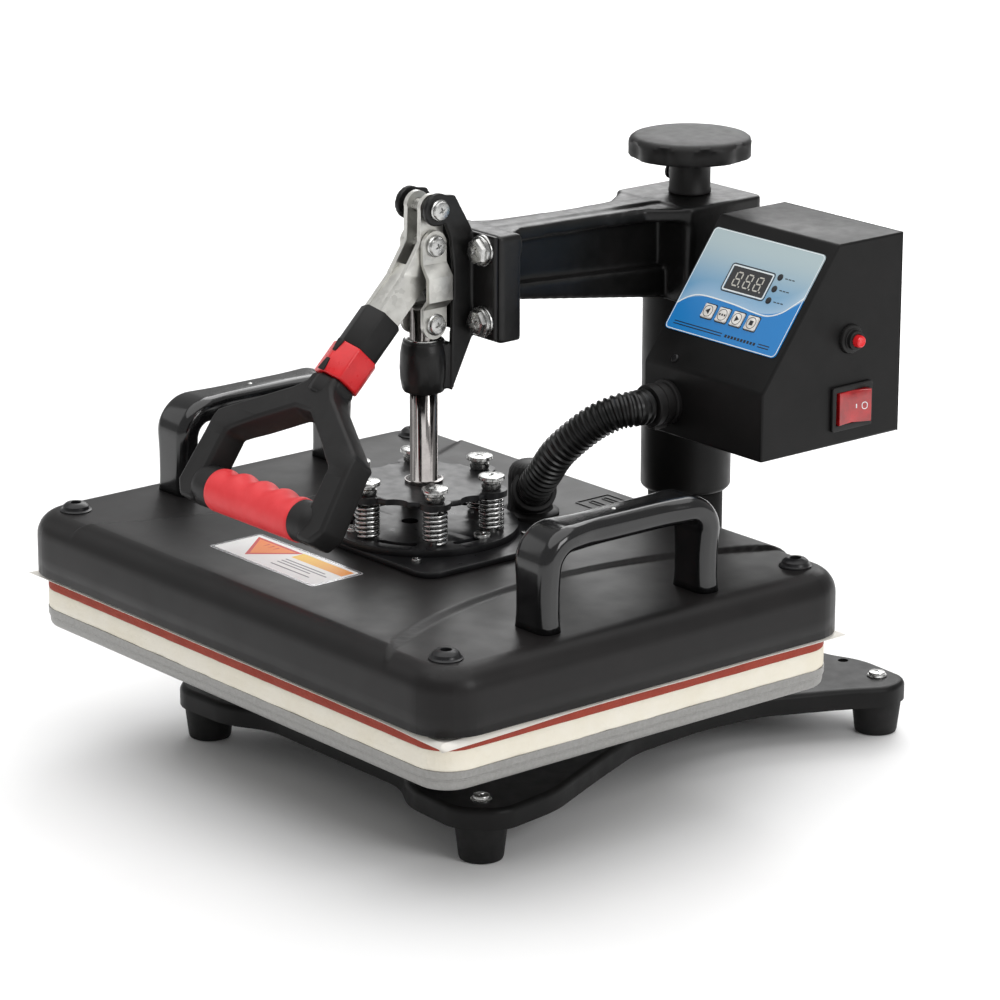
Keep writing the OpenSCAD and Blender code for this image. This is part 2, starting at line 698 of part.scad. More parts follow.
module heating_platen() color("#a8a8a6") placed() difference() {
    translate([0, 0, heater_z]) slab(platen_w + 2, platen_d, heater_t, pad_corner_r);
    element_path(element_r + 0.1);
    for (y = element_ys) translate([-element_xs, y - element_r - 0.1, heater_z + heater_t - 3])
        cube([2 * element_xs, 2 * element_r + 0.2, 10]);
    for (i = [0 : 2]) translate([(i % 2 == 0 ? 1 : -1) * element_xs, element_ys[i] + 30, heater_z + heater_t - 3])
        rotate(i % 2 == 0 ? -90 : 90) rotate_extrude(angle = 180) translate([30 - element_r - 0.1, 0])
            square([2 * element_r + 0.2, 10]);
}

module heating_element() color("#6f6a64") placed() element_path(element_r);

module insulation() color("#d9c98a") placed() difference() {
    translate([0, 0, heater_z + heater_t + 1.2]) slab(platen_w - 30, platen_d - 30, 15, 10);
    four(cover_screw_x, cover_screw_y) cylinder(r = 12, h = cover_top);
    translate([elbow_at[0], elbow_at[1], 0]) cylinder(r = 16, h = cover_top);
}

// ---- Conduit ----

module elbow_outlet(r, length, start = 0) translate([elbow_at[0], elbow_at[1], outlet_z]) rotate(outlet_turn)
    rotate([0, 90 - outlet_rise, 0]) translate([0, 0, start]) cylinder(r = r, h = length);

module conduit_elbow() color("#1a1a1b") placed() difference() {
    union() {
        translate([elbow_at[0], elbow_at[1], crown_z]) cylinder(r = 17, h = 3);
        translate([elbow_at[0], elbow_at[1], crown_z]) cylinder(r = elbow_r, h = elbow_top - crown_z - 4);
        translate([elbow_at[0], elbow_at[1], elbow_top - 4]) cylinder(r1 = elbow_r, r2 = elbow_r - 4, h = 4);
        elbow_outlet(elbow_r - 0.5, outlet_len);
    }
    translate([elbow_at[0], elbow_at[1], crown_z - 1]) cylinder(r = elbow_bore_r, h = outlet_z - crown_z + 8);
    elbow_outlet(elbow_bore_r - 0.6, 30);
    elbow_outlet(hose_r + 0.8, 20, outlet_len);
}

module conduit_gland() color("#1a1a1b") placed() translate([gland_x, box_y0, gland_z]) rotate([90, 0, 0])
    difference() {
        union() {
            translate([0, 0, -box_t - 4]) cylinder(r = 9, h = 6);
            cylinder(r = 13, h = 3);
            cylinder(r = 11.6, h = 15);
        }
        translate([0, 0, -10]) cylinder(r = 7.5, h = 40);
    }

function smooth_at(p, i, t) = let (a = p[max(i - 1, 0)], b = p[i], c = p[i + 1], d = p[min(i + 2, len(p) - 1)])
    0.5 * ((2 * b) + (c - a) * t + (2 * a - 5 * b + 4 * c - d) * t * t + (3 * b - a - 3 * c + d) * t * t * t);
function smooth_route(p, steps) = [for (i = [0 : len(p) - 2], k = [0 : steps - 1]) smooth_at(p, i, k / steps),
    p[len(p) - 1]];
function unit(v) = v / norm(v);
function ring_at(p, i, r, sides) = let (dir = unit(p[min(i + 1, len(p) - 1)] - p[max(i - 1, 0)]),
    across = unit(cross(dir, [0, 0, 1])), up = cross(across, dir))
    [for (k = [0 : sides - 1]) p[i] + r * (across * cos(360 * k / sides) + up * sin(360 * k / sides))];

// A closed tube of the given radius swept along a route
module swept_tube(p, r, sides) {
    rings = [for (i = [0 : len(p) - 1]) each ring_at(p, i, r, sides)];
    last = (len(p) - 1) * sides;
    polyhedron(points = rings, faces = concat(
        [[for (k = [0 : sides - 1]) k]], [[for (k = [sides - 1 : -1 : 0]) last + k]],
        [for (i = [0 : len(p) - 2], k = [0 : sides - 1])
            [i * sides + k, (i + 1) * sides + k, (i + 1) * sides + (k + 1) % sides, i * sides + (k + 1) % sides]]));
}

module conduit_hose() color("#141415") placed() swept_tube(smooth_route(hose_route, hose_steps), hose_r, hose_sides);

// ---- Control box ----

module box_profile(inset) offset(delta = -inset) polygon([[box_y0, box_z0], [box_y0 + box_d, box_z0],
    [box_y0 + box_d, box_top], [slope_top_y, box_top], [slope_y0, slope_z0]]);

module box_block(inset) translate([box_x0 + inset, 0, 0]) rotate([90, 0, 90]) linear_extrude(box_w - 2 * inset)
    box_profile(inset);

// A frame on the sloping panel: x across, y up the slope, z out of the face
module on_slope() translate([0, slope_y0, slope_z0]) rotate([slope_angle, 0, 0]) children();
module at_bracket_screws() for (y = [180, 208], z = [226, 284]) translate([box_x0, y, z]) children();
module on_right_side() translate([box_x0 + box_w, 0, 0]) rotate([90, 0, 90]) children();

module control_box_shell() color("#1f1f20") placed() difference() {
    box_block(0);
    box_block(box_t);
    translate([box_x0 + box_t, box_y0 + box_d - 5, box_z0 + box_t]) cube([box_w - 2 * box_t, 10, 117 - 2 * box_t]);
    on_slope() translate([display_at[0] - 16, display_at[1] - 7.5, -5]) cube([32, 15, 10]);
    on_slope() for (y = lamp_ys) translate([lamp_x, y, -5]) cylinder(r = 1.7, h = 10);
    on_slope() for (x = key_xs) translate([x - 4.6, key_y - 4.6, -5]) cube([9.2, 9.2, 10]);
    on_right_side() translate([breaker_at[0], breaker_at[1], -5]) cylinder(r = 5.5, h = 10);
    on_right_side() translate([rocker_at[0] - 14, rocker_at[1] - 11, -5]) cube([28, 22, 10]);
    translate([gland_x, box_y0 + 5, gland_z]) to_front(9.1, 10);
    at_bracket_screws() along_x(2, 10);
    on_slope() translate([78.5, 6, -5]) cylinder(r = 1.6, h = 10);
}

module control_box_back() color("#1f1f20") placed() difference() {
    translate([box_x0 + box_t + 0.1, box_y0 + box_d - box_t, box_z0 + box_t + 0.1])
        cube([box_w - 2 * box_t - 0.2, box_t, 117 - 2 * box_t - 0.2]);
    translate([box_x0 + 50 - 14, box_y0 + box_d - 5, box_z0 + 22 - 10]) cube([28, 10, 20]);
    for (x = [box_x0 + 8, box_x0 + box_w - 8], z = [box_z0 + 8, box_top - 8])
        translate([x, box_y0 + box_d + 5, z]) to_front(1.6, 10);
}

module box_screws() color("#9a9a9c") placed() {
    for (x = [box_x0 + 8, box_x0 + box_w - 8], z = [box_z0 + 8, box_top - 8])
        translate([x, box_y0 + box_d, z]) rotate([-90, 0, 0]) dome_screw(3.2, 1.8, 1.5, 8);
    on_slope() translate([78.5, 6, 0]) dome_screw(2.4, 1.2, 1.5, 8);
    at_bracket_screws() translate([box_t, 0, 0]) rotate([0, 90, 0]) dome_screw(3.5, 2, 1.9, 6);
}

module box_bracket() color("#202022") placed() difference() {
    union() {
        translate([box_x0 - 3, 170, 216]) cube([3, 48, 78]);
        for (z = [216, 246]) translate([12, 184, z]) cube([box_x0 - 14, 28, 4]);
    }
    at_column() translate([0, 0, 200]) cylinder(r = sleeve_r, h = 100);
    at_bracket_screws() along_x(2, 20);
}

module panel_overlay() color("#5aa6d6") placed() on_slope() difference() {
    translate([overlay_at[0], overlay_at[1], 0]) slab(overlay_w, overlay_h, overlay_t, 3);
    translate([display_at[0] - 16, display_at[1] - 7.5, -5]) cube([32, 15, 10]);
    for (y = lamp_ys) translate([lamp_x, y, -5]) cylinder(r = 1.7, h = 10);
    for (x = key_xs) translate([x - 4.6, key_y - 4.6, -5]) cube([9.2, 9.2, 10]);
}

module display_module() color("#151a20") placed() on_slope()
    translate([display_at[0] - 15.8, display_at[1] - 7.3, -8]) cube([31.6, 14.6, 8 + overlay_t]);

module indicator_lamps() color("#20242a") placed() on_slope() for (y = lamp_ys) translate([lamp_x, y, -8])
    cylinder(r = 1.5, h = 8.4 + overlay_t);

module circuit_board() color("#2b6b3a") placed() on_slope() {
    translate([66, 22, -9.6]) cube([76, 62, 1.6]);
    translate([70, 58, -24]) cube([19, 15, 14.4]);
    translate([94, 26, -30]) cube([30, 24, 20.4]);
    translate([70, 28, -19]) cube([12, 24, 9.4]);
}

module breaker_body() color("#171718") placed() on_right_side()
    translate([breaker_at[0], breaker_at[1], 0]) difference() {
        union() {
            translate([0, 0, -box_t]) cylinder(r = 5.4, h = box_t);
            translate([-8, -12, -box_t - 26]) cube([16, 24, 26]);
            cylinder(r = 8.5, h = 2.5, $fn = 6);
            cylinder(r = 5.8, h = 6);
        }
        translate([0, 0, -6]) cylinder(r = 3.7, h = 20);
    }

module breaker_button() color("#d9272d") placed() on_right_side()
    translate([breaker_at[0], breaker_at[1], -2]) cylinder(r = 3.6, h = 12);

// The rocker's pivot pin, centred on the switch
module rocker_pin(r, length) translate([0, 0, rocker_pin_z]) rotate([90, 0, 0]) cylinder(r = r, h = length, center = true);

module switch_frame() color("#1b1b1c") placed() on_right_side() translate([rocker_at[0], rocker_at[1], 0])
    difference() {
        union() {
            slab(rocker_size[0], rocker_size[1], 2, 1.5);
            translate([-13.9, -10.9, -20]) cube([27.8, 21.8, 20.5]);
        }
        translate([-12.6, -9.6, -12]) cube([25.2, 19.2, 20]);
        rocker_pin(rocker_pin_r + fit_gap, 30);
    }

module switch_rocker() color("#c51d20") placed() on_right_side() translate([rocker_at[0], rocker_at[1], 0])
    union() {
        rotate([90, 0, 0]) linear_extrude(19, center = true)
            polygon([[-11, -1.5], [-11, 3], [0, 1.6], [11, 6.2], [10.6, 1.5], [4, -7], [-4, -7]]);
        rocker_pin(rocker_pin_r, 21);
    }

module power_inlet() color("#151516") placed() translate([box_x0 + 50, box_y0 + box_d, box_z0 + 22])
    rotate([-90, 0, 0]) difference() {
        union() {
            slab(48, 22, 2.5, 4);
            translate([0, 0, -22]) slab(27.6, 19.6, 22.5, 2);
        }
        translate([0, 0, -16]) slab(24, 16, 20, 2);
    }

module key(i) placed() on_slope() translate([key_xs[i], key_y, -6]) slab(key_size, key_size, 6 + overlay_t + 0.9, 1.2);
module key_back() color("#e6e4de") key(0);
module key_set() color("#e6e4de") key(1);
module key_next() color("#e6e4de") key(2);
module key_stop() color("#e6e4de") key(3);

base_plate();
rubber_feet();
base_screws();
column_post();
platen_pedestal();
lower_platen();
foam_pad();
silicone_pad();
release_sheet();
lift_bearing();
sleeve_tube();
sleeve_bushes();
arm_casting();
toggle_frame();
frame_bolts();
pivot_pin_top();
box_bracket();
box_screws();
control_box_shell();
control_box_back();
panel_overlay();
display_module();
indicator_lamps();
circuit_board();
breaker_body();
switch_frame();
power_inlet();
conduit_gland();
pressure_knob();
knob_set_screw();
lead_screw();
key_back();
key_set();
key_next();
key_stop();
breaker_button();
switch_rocker();
lever_plates();
pivot_pin_middle();
handle_socket();
handle_collar();
handle_frame();
handle_grip();
link_plates();
link_rivets();
plunger_shaft();
star_plate();
springs();
spring_bolts();
round_plate();
square_plate();
head_screws();
cover_shell();
cover_posts();
carry_handles();
insulation();
heating_platen();
heating_element();
conduit_elbow();
conduit_hose();
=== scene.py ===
"""Looks of a swing-away heat press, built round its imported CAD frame.

The press stands on a pale studio floor. Shapes are drawn in millimetres and turned to metres as each
piece is finished; their places come from the boxes of the CAD nodes. X runs to the operator's right,
Y back to the column, Z up from the bench.
"""

from __future__ import annotations

import logging
import math
from dataclasses import dataclass
from enum import Enum
from typing import Callable, Iterable, Sequence

import bmesh
import bpy
from bmesh.types import BMesh
from mathutils import Matrix, Vector, noise


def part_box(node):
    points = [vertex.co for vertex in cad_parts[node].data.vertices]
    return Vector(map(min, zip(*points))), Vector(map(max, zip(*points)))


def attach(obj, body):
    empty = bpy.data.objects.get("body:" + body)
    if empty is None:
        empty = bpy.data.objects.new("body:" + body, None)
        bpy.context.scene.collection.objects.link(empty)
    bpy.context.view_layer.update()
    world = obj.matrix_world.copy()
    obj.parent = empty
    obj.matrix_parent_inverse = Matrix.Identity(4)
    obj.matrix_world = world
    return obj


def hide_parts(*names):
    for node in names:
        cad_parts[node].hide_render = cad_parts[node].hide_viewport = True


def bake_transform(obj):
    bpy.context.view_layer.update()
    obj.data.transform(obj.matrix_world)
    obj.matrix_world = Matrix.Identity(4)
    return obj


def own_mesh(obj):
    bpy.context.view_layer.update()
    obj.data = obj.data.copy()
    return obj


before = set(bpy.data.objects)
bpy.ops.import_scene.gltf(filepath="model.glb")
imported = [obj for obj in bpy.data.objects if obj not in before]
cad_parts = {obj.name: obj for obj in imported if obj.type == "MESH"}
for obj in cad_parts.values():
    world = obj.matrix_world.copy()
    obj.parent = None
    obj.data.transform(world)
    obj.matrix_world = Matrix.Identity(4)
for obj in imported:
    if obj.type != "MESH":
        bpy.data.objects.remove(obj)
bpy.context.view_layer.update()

MM = 0.001
# A flat face with more than four sides keeps a crisp outline once it is larger than this, in square metres.
BROAD_FACE = 4e-4
LOG = logging.getLogger("heat_press")
Steps = Sequence[tuple[float, float]]


class Body(str, Enum):
    """The rigid bodies that pieces ride on."""

    BASE = "base"
    ARM = "arm"
    KNOB = "knob"
    LEVER = "lever"
    LINK = "link"
    PLUNGER = "plunger"
    HEAD = "head"
    BREAKER = "breaker_button"
    ROCKER = "switch_rocker"


class Axis(Enum):
    """Directions that a turned part's own Z axis can be laid along."""

    FRONT = (0.0, -1.0, 0.0)
    RIGHT = (1.0, 0.0, 0.0)
    LEFT = (-1.0, 0.0, 0.0)


# ---- Places ----


def box_mm(node: str) -> tuple[Vector, Vector]:
    """Gives a CAD node's box.

    Args:
        node: The node's name.

    Returns:
        Its lowest and highest corners, in millimetres.
    """
    low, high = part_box(node)
    return low / MM, high / MM


def facing(at: Sequence[float], axis: Axis | Vector, turn: float = 0.0) -> Matrix:
    """Places a shape drawn along +Z.

    Args:
        at: Where the shape's origin goes, in millimetres.
        axis: The direction that its +Z points in.
        turn: A turn about its own axis first, in degrees.

    Returns:
        The matrix that puts it there.
    """
    way = Vector(axis.value) if isinstance(axis, Axis) else Vector(axis)
    turned = way.to_track_quat("Z", "Y").to_matrix().to_4x4()
    return Matrix.Translation(at) @ turned @ Matrix.Rotation(math.radians(turn), 4, "Z")


def moved(x: float, y: float, z: float) -> Matrix:
    """Gives a plain shift, in millimetres."""
    return Matrix.Translation((x, y, z))


def smooth_step(low: float, high: float, value: float) -> float:
    """Rises smoothly from 0 at low to 1 at high."""
    t = min(1.0, max(0.0, (value - low) / (high - low)))
    return t * t * (3 - 2 * t)


# ---- Shapes, each a bmesh in millimetres ----


def put(shape: BMesh, place: Matrix) -> BMesh:
    """Moves a whole shape and gives it back."""
    shape.transform(place)
    return shape


def bevel(shape: BMesh, geom: Iterable, width: float, segments: int = 2, affect: str = "EDGES") -> None:
    """Rounds edges, or corners in plan.

    Args:
        shape: The bmesh to change.
        geom: Its edges or vertices to round.
        width: The rounding's size, in the mesh's own unit.
        segments: How many faces the rounding has.
        affect: EDGES or VERTICES.
    """
    bmesh.ops.bevel(shape, geom=list(geom), offset=width, offset_type="OFFSET", segments=segments,
                    profile=0.5, affect=affect, material=-1, clamp_overlap=True)


def sharp(shape: BMesh, angle: float = 40.0) -> list:
    """Lists the edges whose faces meet at more than an angle, in degrees."""
    return [e for e in shape.edges if len(e.link_faces) == 2 and e.calc_face_angle(0.0) > math.radians(angle)]


def longer(length: float) -> Callable[[bmesh.types.BMEdge], bool]:
    """Picks the edges over a length, in millimetres."""
    return lambda edge: edge.calc_length() > length


def closed(shape: BMesh) -> BMesh:
    """Merges doubles, fills what is open and turns every face outwards."""
    bmesh.ops.remove_doubles(shape, verts=shape.verts, dist=1e-4)
    rims = [e for e in shape.edges if len(e.link_faces) == 1]
    if rims:
        bmesh.ops.holes_fill(shape, edges=rims)
    bmesh.ops.recalc_face_normals(shape, faces=shape.faces)
    return shape


def stack(shape: BMesh, face, steps: Steps):
    """Grows a face upwards, a step at a time.

    Args:
        shape: The bmesh to change.
        face: The face that grows.
        steps: For each step, its rise and how far it draws in.

    Returns:
        The top face.
    """
    for rise, inset in steps:
        if inset:
            bmesh.ops.inset_individual(shape, faces=[face], thickness=inset, use_even_offset=True)
        else:
            face = bmesh.ops.extrude_discrete_faces(shape, faces=[face])["faces"][0]
        bmesh.ops.translate(shape, verts=face.verts, vec=(0, 0, rise))
    return face


def slab(width: float, depth: float, corner: float, steps: Steps, segments: int = 8) -> BMesh:
    """Makes a rectangular block with round corners in plan, standing on z = 0.

    Args:
        width: Its size along X.
        depth: Its size along Y.
        corner: The radius of its corners in plan.
        steps: Its rises and draws, as stack() takes them.
        segments: How many faces a corner has.

    Returns:
        The closed shape.
    """
    shape = bmesh.new()
    bmesh.ops.create_grid(shape, x_segments=1, y_segments=1, size=0.5)
    bmesh.ops.scale(shape, verts=shape.verts, vec=(width, depth, 1))
    if corner:
        bevel(shape, shape.verts[:], corner, segments, "VERTICES")
    stack(shape, shape.faces[:][0], steps)
    return closed(shape)


def rounding(radius: float, count: int = 4) -> list[tuple[float, float]]:
    """Lists the rises and draws of a quarter round that closes in."""
    angles = [math.pi / 2 * i / count for i in range(count + 1)]
    return [(radius * (math.sin(b) - math.sin(a)), radius * (math.cos(a) - math.cos(b)))
            for a, b in zip(angles, angles[1:])]


def lathe(profile: Sequence[tuple[float, float]], steps: int = 32) -> BMesh:
    """Turns a profile about Z.

    Args:
        profile: Radius and height of each point, from the bottom up.
        steps: How many faces go round.

    Returns:
        The closed shape.
    """
    shape = bmesh.new()
    verts = [shape.verts.new((r, 0, z)) for r, z in profile]
    edges = [shape.edges.new(pair) for pair in zip(verts, verts[1:])]
    bmesh.ops.spin(shape, geom=verts + edges, cent=(0, 0, 0), axis=(0, 0, 1), angle=2 * math.pi,
                   steps=steps, use_merge=True)
    return closed(shape)


def prism(outline: Sequence[tuple[float, float]], thick: float, round_by: float = 0.0, segments: int = 2) -> BMesh:
    """Extrudes an outline along Z, about z = 0.

    Args:
        outline: The outline's corners in order.
        thick: The prism's thickness.
        round_by: How far its sharp edges are rounded.
        segments: How many faces that rounding has.

    Returns:
        The closed shape.
    """
    shape = bmesh.new()
    face = shape.faces.new([shape.verts.new((x, y, -thick / 2)) for x, y in outline])
    stack(shape, face, [(thick, 0)])
    closed(shape)
    if round_by:
        bevel(shape, sharp(shape, 20), round_by, segments)
    return shape


def screw_head(radius: float, height: float, flange: float = 0.0, sides: int = 16) -> BMesh:
    """Makes a screw's head with a cross recess, standing on z = 0.

    Args:
        radius: The head's radius.
        height: Its height.
        flange: How far a thin flange at its foot stands out.
        sides: 6 for a hexagon head, 16 for a round one.

    Returns:
        The closed shape.
    """
    shape = bmesh.new()
    bmesh.ops.create_circle(shape, cap_ends=True, radius=radius, segments=sides)
    edge = min(radius, height) * 0.3
    top = stack(shape, shape.faces[:][0], [(height - edge, 0), (edge * 0.7, edge * 0.35), (edge * 0.3, edge)])
    closed(shape)
    recess = slot_star(shape, top, radius * 0.5)
    stack(shape, recess, [(-height * 0.45, 0.12 * radius)])
    if flange:
        ring = lathe([(0, 0), (radius + flange, 0), (radius + flange, 0.7), (radius + flange - 0.6, 1.3), (0, 1.4)])
        return merged([shape, ring])
    return shape


def slot_star(shape: BMesh, face, reach: float):
    """Sinks a four-pointed star into a flat face.

    Args:
        shape: The bmesh to change.
        face: The flat face.
        reach: How far the star's points reach from the middle.

    Returns:
        The star's face.
    """
    centre = face.calc_center_median()
    bmesh.ops.inset_individual(shape, faces=[face], thickness=reach * 0.15, use_even_offset=True)
    if len(face.verts) < 16:
        bmesh.ops.subdivide_edges(shape, edges=face.edges[:], cuts=1)
    count = len(face.verts)
    for index, vert in enumerate(face.verts):
        out = vert.co - centre
        share = abs(math.cos(2 * math.pi * index / count * 2)) ** 3
        vert.co = centre + out.normalized() * reach * (0.3 + 0.7 * share)
    return face


def merged(shapes: Iterable[BMesh]) -> BMesh:
    """Joins shapes into one and frees them."""
    whole = bmesh.new()
    for shape in shapes:
        part = bpy.data.meshes.new("part")
        shape.to_mesh(part)
        shape.free()
        whole.from_mesh(part)
        bpy.data.meshes.remove(part)
    return whole


def repeated(make: Callable[[], BMesh], places: Iterable[Matrix]) -> list[BMesh]:
    """Makes a shape again at each place."""
    return [put(make(), place) for place in places]


def diced(shape: BMesh, xs: Iterable[float], ys: Iterable[float]) -> None:
    """Cuts a shape into a grid, so that its faces can be moved in detail.

    Args:
        shape: The bmesh to cut.
        xs: Where it is cut across X.
        ys: Where it is cut across Y.
    """
    cuts = [((x, 0, 0), (1, 0, 0)) for x in xs] + [((0, y, 0), (0, 1, 0)) for y in ys]
    for at, normal in cuts:
        geom = shape.verts[:] + shape.edges[:] + shape.faces[:]
        bmesh.ops.bisect_plane(shape, geom=geom, dist=1e-4, plane_co=at, plane_no=normal)


def span(low: float, high: float, step: float) -> list[float]:
    """Lists evenly spaced values from low to high, about a step apart."""
    count = max(1, round((high - low) / step))
    return [low + (high - low) * i / count for i in range(count + 1)]


def hoop(at: Vector, along: Vector, radius: float, sides: int, shape: BMesh) -> list:
    """Adds a ring of vertices square to a direction.

    Args:
        at: The ring's middle.
        along: The direction that it faces.
        radius: The ring's radius.
        sides: How many vertices it has.
        shape: The bmesh that it goes in.

    Returns:
        The ring's vertices.
    """
    across = along.cross(Vector((0, 0, 1))).normalized()
    up = across.cross(along).normalized()
    turn = Matrix((across, up, along.normalized())).transposed().to_4x4()
    return bmesh.ops.create_circle(shape, cap_ends=False, radius=radius, segments=sides,
                                   matrix=Matrix.Translation(at) @ turn)["verts"]


def tube(path: Sequence[Vector], radius: Callable[[int], float], sides: int = 24) -> BMesh:
    """Sweeps a round section along a path.

    Args:
        path: The points that it follows.
        radius: Gives the tube's radius at a point's index.
        sides: How many faces go round.

    Returns:
        The closed shape.
    """
    shape = bmesh.new()
    before = []
    for index, at in enumerate(path):
        along = path[min(index + 1, len(path) - 1)] - path[max(index - 1, 0)]
        ring = hoop(at, along, radius(index), sides, shape)
        edges = {e for v in ring for e in v.link_edges if e.other_vert(v) in ring}
        if before:
            bmesh.ops.bridge_loops(shape, edges=list(edges) + before)
        before = list(edges)
    return closed(shape)


def smooth_path(points: Sequence[Sequence[float]], steps: int) -> list[Vector]:
    """Runs a smooth curve through points.

    Args:
        points: The points that it passes through.
        steps: How many stretches each gap is cut into.

    Returns:
        The curve's points.
    """
    spots = [Vector(p) for p in points]
    found = []
    for index in range(len(spots) - 1):
        a, b = spots[max(index - 1, 0)], spots[index]
        c, d = spots[index + 1], spots[min(index + 2, len(spots) - 1)]
        for step in range(steps):
            t = step / steps
            found.append(0.5 * (2 * b + (c - a) * t + (2 * a - 5 * b + 4 * c - d) * t ** 2
                                + (3 * b - a - 3 * c + d) * t ** 3))
    return found + [spots[-1]]


def evenly(path: Sequence[Vector], step: float) -> list[Vector]:
    """Spaces a path's points evenly.

    Args:
        path: The path.
        step: The distance between the new points.

    Returns:
        The new points, from end to end.
    """
    lengths = [0.0]
    for a, b in zip(path, path[1:]):
        lengths.append(lengths[-1] + (b - a).length)
    found = []
    for want in span(0, lengths[-1], step):
        index = max(i for i, length in enumerate(lengths[:-1]) if length <= want + 1e-9)
        share = (want - lengths[index]) / (lengths[index + 1] - lengths[index])
        found.append(path[index].lerp(path[index + 1], share))
    return found


# ---- Finishes ----


def linear(code: str) -> tuple[float, float, float, float]:
    """Turns an sRGB hex value into the linear colour that shaders mix."""
    shares = [int(code[i:i + 2], 16) / 255 for i in (1, 3, 5)]
    return (*[s / 12.92 if s <= 0.04045 else ((s + 0.055) / 1.055) ** 2.4 for s in shares], 1.0)


def add_node(tree: bpy.types.NodeTree, kind: str, inputs: dict | None = None, **settings) -> bpy.types.Node:
    """Adds a node with its settings, values and links.

    Args:
        tree: The material's node tree.
        kind: The node's type.
        inputs: A value, or the socket that feeds it, for each input by name or number.
        **settings: The node's own properties.

    Returns:
        The new node.
    """
    node = tree.nodes.new(kind)
    for name, value in settings.items():
        setattr(node, name, value)
    for name, value in (inputs or {}).items():
        if isinstance(value, bpy.types.NodeSocket):
            tree.links.new(value, node.inputs[name])
        else:
            node.inputs[name].default_value = value
    return node


@dataclass(frozen=True)
class Finish:
    """A solid finish: blotches of a second tone, a fine grain and low waves.

    Every length is a real one, in millimetres.
    """

    name: str
    slot: str
    colour: str
    tone: str
    roughness: float
    spread: float = 0.1
    metallic: float = 0.0
    ior: float = 1.5
    coat: float = 0.0
    specular: float = 0.5
    blotch: float = 35.0
    grain: float = 0.9
    grain_depth: float = 0.02
    wave: float = 0.0
    wave_depth: float = 0.0

    def material(self) -> bpy.types.Material:
        """Gives the finish's material, made the first time it is asked for."""
        found = bpy.data.materials.get(self.name)
        if found:
            return found
        material = bpy.data.materials.new(self.name)
        material.use_nodes = True
        material.diffuse_color = linear(self.colour)
        tree = material.node_tree
        tree.nodes.clear()
        shader = add_node(tree, "ShaderNodeBsdfPrincipled", {
            "Metallic": self.metallic, "IOR": self.ior, "Coat Weight": self.coat, "Coat Roughness": 0.08,
            "Specular IOR Level": self.specular})
        add_node(tree, "ShaderNodeOutputMaterial", {"Surface": shader.outputs["BSDF"]})
        place = add_node(tree, "ShaderNodeTexCoord").outputs["Object"]
        tree.links.new(self.paint(tree, place), shader.inputs["Base Color"])
        tree.links.new(self.gloss(tree, place), shader.inputs["Roughness"])
        tree.links.new(self.relief(tree, place), shader.inputs["Normal"])
        return material

    def blotches(self, tree: bpy.types.NodeTree, place: bpy.types.NodeSocket, size: float,
                 low: float = 0.35, high: float = 0.7) -> bpy.types.NodeSocket:
        """Makes soft patches from 0 to 1.

        Args:
            tree: The material's node tree.
            place: The coordinates.
            size: The patches' size in millimetres.
            low: The noise at which a patch starts.
            high: The noise at which it is full.

        Returns:
            The patches' value.
        """
        cloud = add_node(tree, "ShaderNodeTexNoise", {"Vector": place, "Scale": 1 / (size * MM), "Detail": 5.0,
                                                      "Roughness": 0.6})
        return add_node(tree, "ShaderNodeMapRange", {
            "Value": cloud.outputs["Fac"], "From Min": low, "From Max": high}).outputs["Result"]

    def paint(self, tree: bpy.types.NodeTree, place: bpy.types.NodeSocket) -> bpy.types.NodeSocket:
        """Mixes the two tones in patches."""
        patches = self.blotches(tree, place, self.blotch)
        return add_node(tree, "ShaderNodeMix", {0: patches, 6: linear(self.colour), 7: linear(self.tone)},
                        data_type="RGBA").outputs[2]

    def gloss(self, tree: bpy.types.NodeTree, place: bpy.types.NodeSocket) -> bpy.types.NodeSocket:
        """Varies the roughness in patches a third as large as the tone's."""
        smear = add_node(tree, "ShaderNodeTexNoise", {"Vector": place, "Scale": 3 / (self.blotch * MM),
                                                      "Detail": 6.0})
        return add_node(tree, "ShaderNodeMapRange", {
            "Value": smear.outputs["Fac"], "From Min": 0.3, "From Max": 0.7,
            "To Min": self.roughness - self.spread / 2, "To Max": self.roughness + self.spread / 2}).outputs["Result"]

    def relief(self, tree: bpy.types.NodeTree, place: bpy.types.NodeSocket) -> bpy.types.NodeSocket:
        """Raises the fine grain over the low waves."""
        grain = add_node(tree, "ShaderNodeTexNoise", {"Vector": place, "Scale": 1 / (self.grain * MM), "Detail": 2.0})
        bump = add_node(tree, "ShaderNodeBump", {"Height": grain.outputs["Fac"], "Distance": self.grain_depth * MM,
                                                 "Strength": 1.0})
        if self.wave:
            wave = add_node(tree, "ShaderNodeTexNoise", {"Vector": place, "Scale": 1 / (self.wave * MM)})
            under = add_node(tree, "ShaderNodeBump", {"Height": wave.outputs["Fac"],
                                                      "Distance": self.wave_depth * MM, "Strength": 1.0})
            tree.links.new(under.outputs["Normal"], bump.inputs["Normal"])
        return bump.outputs["Normal"]


@dataclass(frozen=True)
class RolledSteel(Finish):
    """Zinc-plated strap as it comes from the barrel: crystals of slightly different greys and rubbed streaks."""

    crystal: float = 3.0

    def paint(self, tree: bpy.types.NodeTree, place: bpy.types.NodeSocket) -> bpy.types.NodeSocket:
        """Gives each crystal its own grey."""
        cells = add_node(tree, "ShaderNodeTexVoronoi", {"Vector": place, "Scale": 1 / (self.crystal * MM)})
        grey = add_node(tree, "ShaderNodeSeparateColor", {"Color": cells.outputs["Color"]})
        patches = self.blotches(tree, place, self.blotch)
        share = add_node(tree, "ShaderNodeMath", {0: grey.outputs["Red"], 1: patches}, operation="MULTIPLY")
        return add_node(tree, "ShaderNodeMix", {0: share.outputs["Value"], 6: linear(self.colour),
                                                7: linear(self.tone)}, data_type="RGBA").outputs[2]


